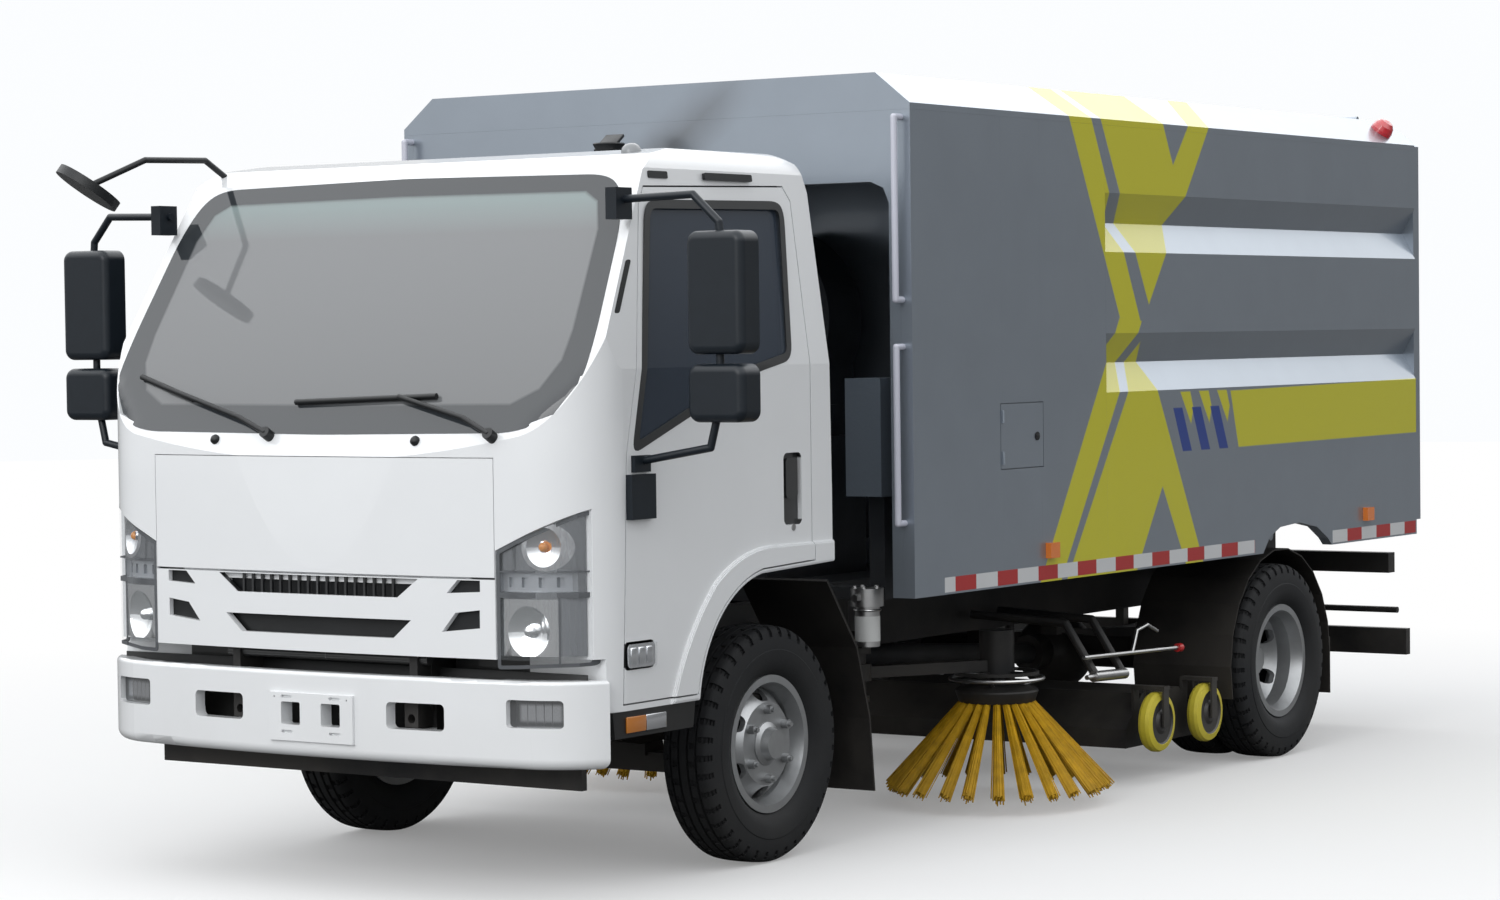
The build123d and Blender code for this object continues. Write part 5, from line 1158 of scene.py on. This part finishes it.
@dataclass
class BroomGear:
    """Hoops over the side brooms and the rods, levers and short cylinders beside the suction nozzle."""

    broom_x: float = 0.745
    broom_d: float = 1.610
    hoop_z: float = 0.452
    hoop_radius: float = 0.168
    rod_x: float = 0.925
    bracket_ds: Point2 = (2.02, 2.22)
    bracket_bends: tuple[Point2, Point2] = ((0.40, 0.640), (0.80, 0.620))

    def build(self) -> None:
        """Makes both sides."""
        for side, sign in SIDES:
            self.hoop(side, sign)
            self.controls(side, sign)

    def hoop(self, side: str, sign: int) -> None:
        """A steel hoop on four spokes, which turns with the broom."""
        centre = (sign * self.broom_x, fa(self.broom_d), self.hoop_z)
        hoop = Builder(f"broom_hoop_{side}", f"broom_{side}_body", BARE_STEEL)
        hoop.hoop(centre, (0, 0, 1), self.hoop_radius, 0.007)
        for index in range(4):
            way = Vector((math.cos(index * math.pi / 2 + 0.4), math.sin(index * math.pi / 2 + 0.4), 0))
            foot = Vector(centre) + way * 0.10 - Vector((0, 0, 0.024))
            hoop.rod(tuple(foot), tuple(Vector(centre) + way * (self.hoop_radius - 0.002)), 0.006, 10)
        hoop.done()

    def controls(self, side: str, sign: int) -> None:
        """Bracket, pull rod with its cap, lever and cylinder, all fixed to the frame."""

        def at(along: float, up: float) -> Point3:
            """A point in the plane of the rods."""
            return (sign * self.rod_x, fa(along), up)

        frame = Builder(f"control_bracket_{side}", "chassis", CHASSIS_PAINT)
        for along in self.bracket_ds:
            inner, bend = ((sign * x, fa(along), z) for x, z in self.bracket_bends)
            frame.bent_rod([inner, bend, at(along, 0.430)], 0.016)
        frame.done()
        steel = Builder(f"control_rods_{side}", "chassis", BARE_STEEL)
        steel.rod(at(1.93, 0.505), at(2.66, 0.484), 0.008)
        steel.bent_rod([at(2.30, 0.494), at(2.34, 0.575), at(2.42, 0.590), at(2.50, 0.560)], 0.007)
        steel.rod(at(2.00, 0.430), at(2.24, 0.422), 0.020, 20)
        steel.rod(at(1.95, 0.431), at(2.00, 0.430), 0.009)
        steel.done()
        cap = Builder(f"control_cap_{side}", "chassis", RED_CAP)
        cap.rod(at(2.66, 0.484), at(2.69, 0.483), 0.016, 16)
        cap.done()


@dataclass
class SeatPad:
    """One padded piece of a seat, blown up from a slightly smaller block."""

    name: str
    corners: tuple[Point2, Point2, Point2, Point2]
    centre_x: float
    half: float
    inset: float = 0.014
    voxel: float = 0.007
    travel: float = 0.022
    rounding: float = 0.022
    pressure: float = 4.0
    frames: int = 20

    def build(self) -> bpy.types.Object:
        bm = bmesh.new()
        verts = [bm.verts.new((self.centre_x - self.half + self.inset, fa(along), up)) for along,
                 up in self.drawn_in()]
        face = bm.faces.new(verts)
        moved = bmesh.ops.extrude_face_region(bm, geom=[face])["geom"]
        bmesh.ops.translate(bm, vec=(2 * (self.half - self.inset), 0, 0),
                            verts=[part for part in moved if isinstance(part, bmesh.types.BMVert)])
        bmesh.ops.bevel(bm, geom=bm.edges[:], offset=self.rounding, segments=3, profile=0.5, affect="EDGES",
                        material=-1)
        bmesh.ops.recalc_face_normals(bm, faces=bm.faces)
        piece = as_object(self.name, bm)
        self.blow_up(piece)
        piece.data.materials.clear()
        piece.data.materials.append(SEAT_CLOTH.material())
        piece.data.polygons.foreach_set("use_smooth", [True] * len(piece.data.polygons))
        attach(piece, "cab")
        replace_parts(piece, "seats")
        LOG.info("%s: %d faces", self.name, len(piece.data.polygons))
        return piece

    def drawn_in(self) -> list[Point2]:
        """The side outline, each corner moved towards the middle by the inset."""
        middle = sum((Vector(corner) for corner in self.corners), Vector((0, 0))) / 4
        out = []
        for corner in self.corners:
            way = middle - Vector(corner)
            step = Vector((math.copysign(self.inset, way.x), math.copysign(self.inset, way.y)))
            out.append(tuple(Vector(corner) + step))
        return out

    def blow_up(self, piece: bpy.types.Object) -> None:
        """Remeshes the block, runs cloth with pressure inside and keeps the capped result."""
        self.apply(piece, "REMESH", {"mode": "VOXEL", "voxel_size": self.voxel})
        start = [vert.co.copy() for vert in piece.data.vertices]
        cloth = piece.modifiers.new("fill", "CLOTH")
        cloth.settings.use_pressure = True
        cloth.settings.uniform_pressure_force = self.pressure
        cloth.settings.effector_weights.gravity = 0.0
        scene = bpy.context.scene
        for frame_number in range(1, self.frames + 1):
            scene.frame_set(frame_number)
        swollen = piece.evaluated_get(bpy.context.evaluated_depsgraph_get())
        ends = [vert.co.copy() for vert in swollen.data.vertices]
        piece.modifiers.clear()
        scene.frame_set(1)
        for vert, first, last in zip(piece.data.vertices, start, ends):
            move = last - first
            vert.co = first + move * min(1.0, self.travel / max(move.length, 1e-9))
        piece.data.update()
        self.apply(piece, "SUBSURF", {"levels": 1, "render_levels": 1})

    def apply(self, piece: bpy.types.Object, kind: str, settings: dict) -> None:
        """Adds one modifier and keeps its result as the mesh."""
        modifier = piece.modifiers.new(kind.lower(), kind)
        for key, value in settings.items():
            setattr(modifier, key, value)
        mesh = bpy.data.meshes.new_from_object(piece.evaluated_get(bpy.context.evaluated_depsgraph_get()))
        piece.modifiers.clear()
        old = piece.data
        piece.data = mesh
        bpy.data.meshes.remove(old)
        mesh.name = self.name


@dataclass
class CabSeats:
    """Driver's seat and double bench: cushions, backrests, head pads and pedestals."""

    places: tuple[tuple[str, float, float], ...] = (("driver", 0.450, 0.25), ("bench", -0.330, 0.40))
    cushion: tuple[Point2, Point2, Point2, Point2] = (
        (-0.595, 1.085), (-0.105, 1.085), (-0.105, 1.195), (-0.595, 1.195))
    backrest: tuple[Point2, Point2, Point2, Point2] = (
        (-0.170, 1.200), (-0.060, 1.200), (0.020, 1.760), (-0.070, 1.780))

    def build(self) -> None:
        """Makes the pads and what they stand on."""
        feet = Builder("seat_pedestals", "cab", DASH_PLASTIC)
        for name, centre, half in self.places:
            SeatPad(f"seat_cushion_{name}", self.cushion, centre, half).build()
            SeatPad(f"seat_back_{name}", self.backrest, centre, half).build()
            feet.block((centre - half + 0.04, fa(-0.50), 1.0103), (centre + half - 0.04, fa(-0.14), 1.096),
                       0.006)
            for side in (-1, 1):
                x = centre + side * (half - 0.05)
                feet.rod((x, fa(-0.12), 1.12), (x, fa(-0.11), 1.24), 0.012)
        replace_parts(feet.done(), "seats")


@dataclass
class Tyre:
    """One tyre with ribs, shoulder cuts and a rounded sidewall."""

    name: str
    body: str
    centre: Point3
    radius: float = 0.382
    half: float = 0.098
    steps: int = 120
    cut_depth: float = 0.007
    cut_lip: float = 0.0015

    def outline(self) -> list[Point2]:
        """Half of the section, from the bead up to the crown."""
        return [(0.0677, 0.2033), (0.0690, 0.2240), (0.0800, 0.2335), (0.0905, 0.2500), (0.0965, 0.2700),
                (self.half, 0.2950), (self.half, 0.3030), (0.0955, 0.3060), (0.0945, 0.3250),
                (0.0900, 0.3450),
                (0.0870, 0.3600), (0.0800, 0.3720), (0.0700, 0.3785), (0.0530, 0.3805), (0.0525, 0.3715),
                (0.0435, 0.3715), (0.0430, 0.3812), (0.0215, 0.3818), (0.0210, 0.3720), (0.0120, 0.3720),
                (0.0115, 0.3820)]

    def build(self, builder: Builder) -> None:
        """Spins the section and cuts the shoulders."""
        half = self.outline()
        profile = half + [(-along, radius) for along, radius in reversed(half)]
        faces = builder.ring(profile, self.centre, (1, 0, 0), self.steps)
        cuts = []
        for face in faces:
            middle = face.calc_center_median() - Vector(self.centre)
            radius = math.hypot(middle.y, middle.z)
            angle = math.atan2(middle.z, middle.y) % (2 * math.pi)
            index = int(angle / (2 * math.pi) * self.steps)
            shoulder = 0.35 < radius and abs(middle.x) > 0.053
            rib = radius > 0.379 and 0.022 < abs(middle.x) < 0.043
            if (shoulder and index % 3 == 0) or (rib and index % 3 == 1):
                cuts.append(face)
        bmesh.ops.inset_individual(builder.bm, faces=cuts, thickness=self.cut_lip, depth=-self.cut_depth)


@dataclass
class Wheels:
    """Tyres in place of the plain ones, and the brake drums of the front wheels."""

    wheel_z: float = 0.382
    front_x: float = 0.768
    rear_x: tuple[float, float] = (0.716, 0.942)
    rear_y: float = 1.665

    def build(self) -> None:
        """Makes the drums, and the tyres of all four corners."""
        self.drums()
        for side, sign in SIDES:
            self.tyres(f"road_tyre_front_{side}", f"wheel_front_{side}", [sign * self.front_x],
                       FRONT_AXLE_Y,
                       f"tyre_front_{side}")
            self.tyres(f"road_tyres_rear_{side}", f"wheels_rear_{side}", [sign * x for x in self.rear_x],
                       self.rear_y,
                       f"tyres_rear_{side}")

    def drums(self) -> None:
        """Dark brake drums behind the front discs."""
        for side, sign in SIDES:
            drum = Builder(f"brake_drum_{side}", f"knuckle_{side}_body", CHASSIS_PAINT)
            drum.ring([(0.690, 0.075), (0.690, 0.150), (0.700, 0.158), (0.775, 0.160), (0.785, 0.152),
                       (0.785, 0.075)],
                      (0.0, FRONT_AXLE_Y, self.wheel_z), (sign, 0, 0), 48)
            drum.done()

    def tyres(self, name: str, body: str, places: Sequence[float], y: float, node: str) -> None:
        """One piece with a tyre at each place, which stands for the plain node."""
        builder = Builder(name, body, TYRE_RUBBER)
        for x in places:
            Tyre(name, body, (x, y, self.wheel_z)).build(builder)
        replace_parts(builder.done(Shading.CRISP), node)


@dataclass
class BroomHead:
    """A side broom: dark plate and twenty-four bundles of bristles."""

    side: str
    sign: int
    x: float = 0.745
    y: float = fa(1.610)
    plate_z: float = 0.430
    plate_radius: float = 0.150
    tufts: int = 24
    strands: int = 20
    tip_radius: float = 0.394
    tip_z: float = 0.056

    def build(self) -> None:
        """Makes the plate and the bristles."""
        body = f"broom_{self.side}_body"
        centre = (self.sign * self.x, self.y, self.plate_z)
        plate = Builder(f"broom_plate_{self.side}", body, CHASSIS_PAINT)
        outline = [(0.0, 0.006), (0.0, 0.118), (-0.004, 0.128), (-0.018, 0.148), (-0.024, 0.150),
                   (-0.030, 0.148),
                   (-0.058, 0.138), (-0.062, 0.134), (-0.062, 0.006)]
        plate.ring(outline, centre, (0, 0, 1), 48)
        plate.rod((centre[0], centre[1], 0.424), (centre[0], centre[1], 0.4635), 0.030, 24)
        plate.done()
        self.bristles(body, centre)

    def bristles(self, body: str, centre: Point3) -> None:
        """One bundle of strands, repeated round the plate."""
        rng = random.Random(11 if self.sign > 0 else 12)
        builder = Builder(f"broom_bristles_{self.side}", body, BRISTLE)
        for index in range(self.tufts):
            angle = index * 2 * math.pi / self.tufts + rng.uniform(-0.02, 0.02)
            spread = rng.uniform(0.92, 1.08)
            reach = rng.uniform(-0.012, 0.006)
            turn = Matrix.Translation(centre) @ Matrix.Rotation(angle, 4, "Z")
            made = self.bundle(builder, rng, spread, reach)
            bmesh.ops.transform(builder.bm, matrix=turn, verts=made)
        piece = builder.done(Shading.ROUND, mend=False)
        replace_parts(piece, f"broom_{self.side}")

    def bundle(self, builder: Builder, rng: random.Random, spread: float,
               reach: float) -> list[bmesh.types.BMVert]:
        """Strands that fan out from one hole, about the local X axis; returns their corners."""
        start = Vector((0.112, 0, -0.052))
        tip = Vector((self.tip_radius + reach, 0, self.tip_z - self.plate_z))
        made: list[bmesh.types.BMVert] = []
        core = builder.rod(start, start.lerp(tip, 0.97), 0.011, 8, 0.019 * spread)
        made += core
        across = (tip - start).normalized().cross(Vector((0, 1, 0)))
        for index in range(self.strands):
            turn = index * 2.39996
            wide = math.sqrt((index + 0.5) / self.strands)
            side = Vector((0, 1, 0)) * math.cos(turn) + across * math.sin(turn)
            foot = start + side * 0.012 * wide
            end = start.lerp(tip, rng.uniform(0.96, 1.01)) + side * (0.025 * wide * spread)
            made += builder.rod(foot, end, 0.0016, 4, 0.0026)
        return made


@dataclass
class Studio:
    """Camera, lamps, floor and backdrop."""

    camera_at: Point3 = (7.322, -11.325, 1.702)
    azimuth: float = 34.33
    elevation: float = 2.08
    roll: float = -0.0131
    focal_pixels: float = 3626.8
    frame: tuple[int, int] = (1500, 900)
    principal: Point2 = (741.2, 464.6)
    key_at: Point3 = (1.0, -13, 6)
    key_size: float = 6
    key_power: float = 420

    def build(self) -> None:
        """Sets the whole stage."""
        self.camera()
        self.lamps()
        self.floor()
        scene = bpy.context.scene
        scene.view_settings.view_transform = "Standard"

    def camera(self) -> None:
        """The photograph's viewpoint."""
        az, el = math.radians(self.azimuth), math.radians(self.elevation)
        back = Vector((math.sin(az) * math.cos(el), -math.cos(az) * math.cos(el), math.sin(el)))
        right = Vector((0, 0, 1)).cross(back).normalized()
        up = back.cross(right)
        c, s = math.cos(self.roll), math.sin(self.roll)
        right, up = right * c + up * s, up * c - right * s
        data = bpy.data.cameras.new("camera")
        data.sensor_fit = "HORIZONTAL"
        data.sensor_width = 36.0
        data.lens = self.focal_pixels / self.frame[0] * data.sensor_width
        data.shift_x = (self.frame[0] / 2 - self.principal[0]) / self.frame[0]
        data.shift_y = (self.principal[1] - self.frame[1] / 2) / self.frame[0]
        data.clip_end = 200
        camera = linked("camera", data)
        turn = Matrix((right, up, back)).transposed().to_4x4()
        camera.matrix_world = Matrix.Translation(self.camera_at) @ turn
        bpy.context.scene.camera = camera

    def lamps(self) -> None:
        """A pale sky, bright overhead and ahead of the truck, and one broad soft lamp."""
        world = bpy.data.worlds.new("sky")
        world.use_nodes = True
        bench = Bench(world.node_tree)
        x, y, z = bench.split("Generated")
        ahead = (-y).over(0.1, 1.2)
        mirrored = z.over(0.30, 0.34).blend(ahead.blend(0.22, 0.95), 2.7)
        lighting = z.over(0.35, 0.9) * 0.42 + ahead * 0.50 + 0.46
        strength = bench.in_view().blend(bench.ray("Is Glossy Ray").blend(lighting, mirrored), 1.0)
        sky = bench.node("ShaderNodeBackground", inputs={"Color": (0.97, 0.985, 1.0), "Strength": strength})
        bench.node("ShaderNodeOutputWorld", inputs={"Surface": sky.outputs[0]})
        bpy.context.scene.world = world
        data = bpy.data.lights.new("key", "AREA")
        data.size = self.key_size
        data.energy = self.key_power
        way = Vector(self.key_at) - Vector((0, 0, 1))
        turn = way.to_track_quat("Z", "Y").to_matrix().to_4x4()
        linked("key", data).matrix_world = Matrix.Translation(self.key_at) @ turn

    def floor(self) -> None:
        """A pale floor that fades into the background and keeps the shadow."""
        bm = bmesh.new()
        bmesh.ops.create_circle(bm, cap_ends=True, segments=64, radius=40)
        floor = as_object("floor", bm)
        bench = PaintBench("floor")
        bench.set(Base_Color=(0.14, 0.14, 0.14), Roughness=0.9)
        seen = bench.node("ShaderNodeBsdfDiffuse", inputs={"Color": (0.92, 0.92, 0.92)})
        glow = bench.node("ShaderNodeEmission", inputs={"Color": (1.0, 1.0, 1.0), "Strength": 1.0})
        x, y, z = bench.axes()
        near = 1 - (x * x + y * y).over(38.0, 44.0)
        pale = bench.join(near * 0.78, glow.outputs[0], seen.outputs[0])
        both = bench.join(bench.in_view(), bench.shader.outputs[0], pale)
        bench.feed(bench.output.inputs["Surface"], both)
        floor.data.materials.append(bench.material)


def dress_nodes(frame: dict) -> None:
    """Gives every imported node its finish.
    """
    for name, node in frame["nodes"].items():
        stem = name.removesuffix("_left").removesuffix("_right")
        finish = NODE_FINISHES[stem]
        node.data.materials.clear()
        node.data.materials.append(finish.material())
        LOG.info("%s wears %s", name, finish.name)


def main() -> None:
    """Loads the frame, dresses it and builds each sub-assembly."""
    logging.basicConfig(level=logging.INFO, format="%(message)s")
    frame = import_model()
    dress_nodes(frame)
    CabGlazing().build()
    CabTrim().build()
    CabSeats().build()
    FrontCover().build()
    FilterFittings().build()
    ExhaustCap().build()
    HopperTrim().build()
    BroomGear().build()
    Wheels().build()
    for side, sign in SIDES:
        BroomHead(side, sign).build()
    Studio().build()


if __name__ == "__main__":
    main()
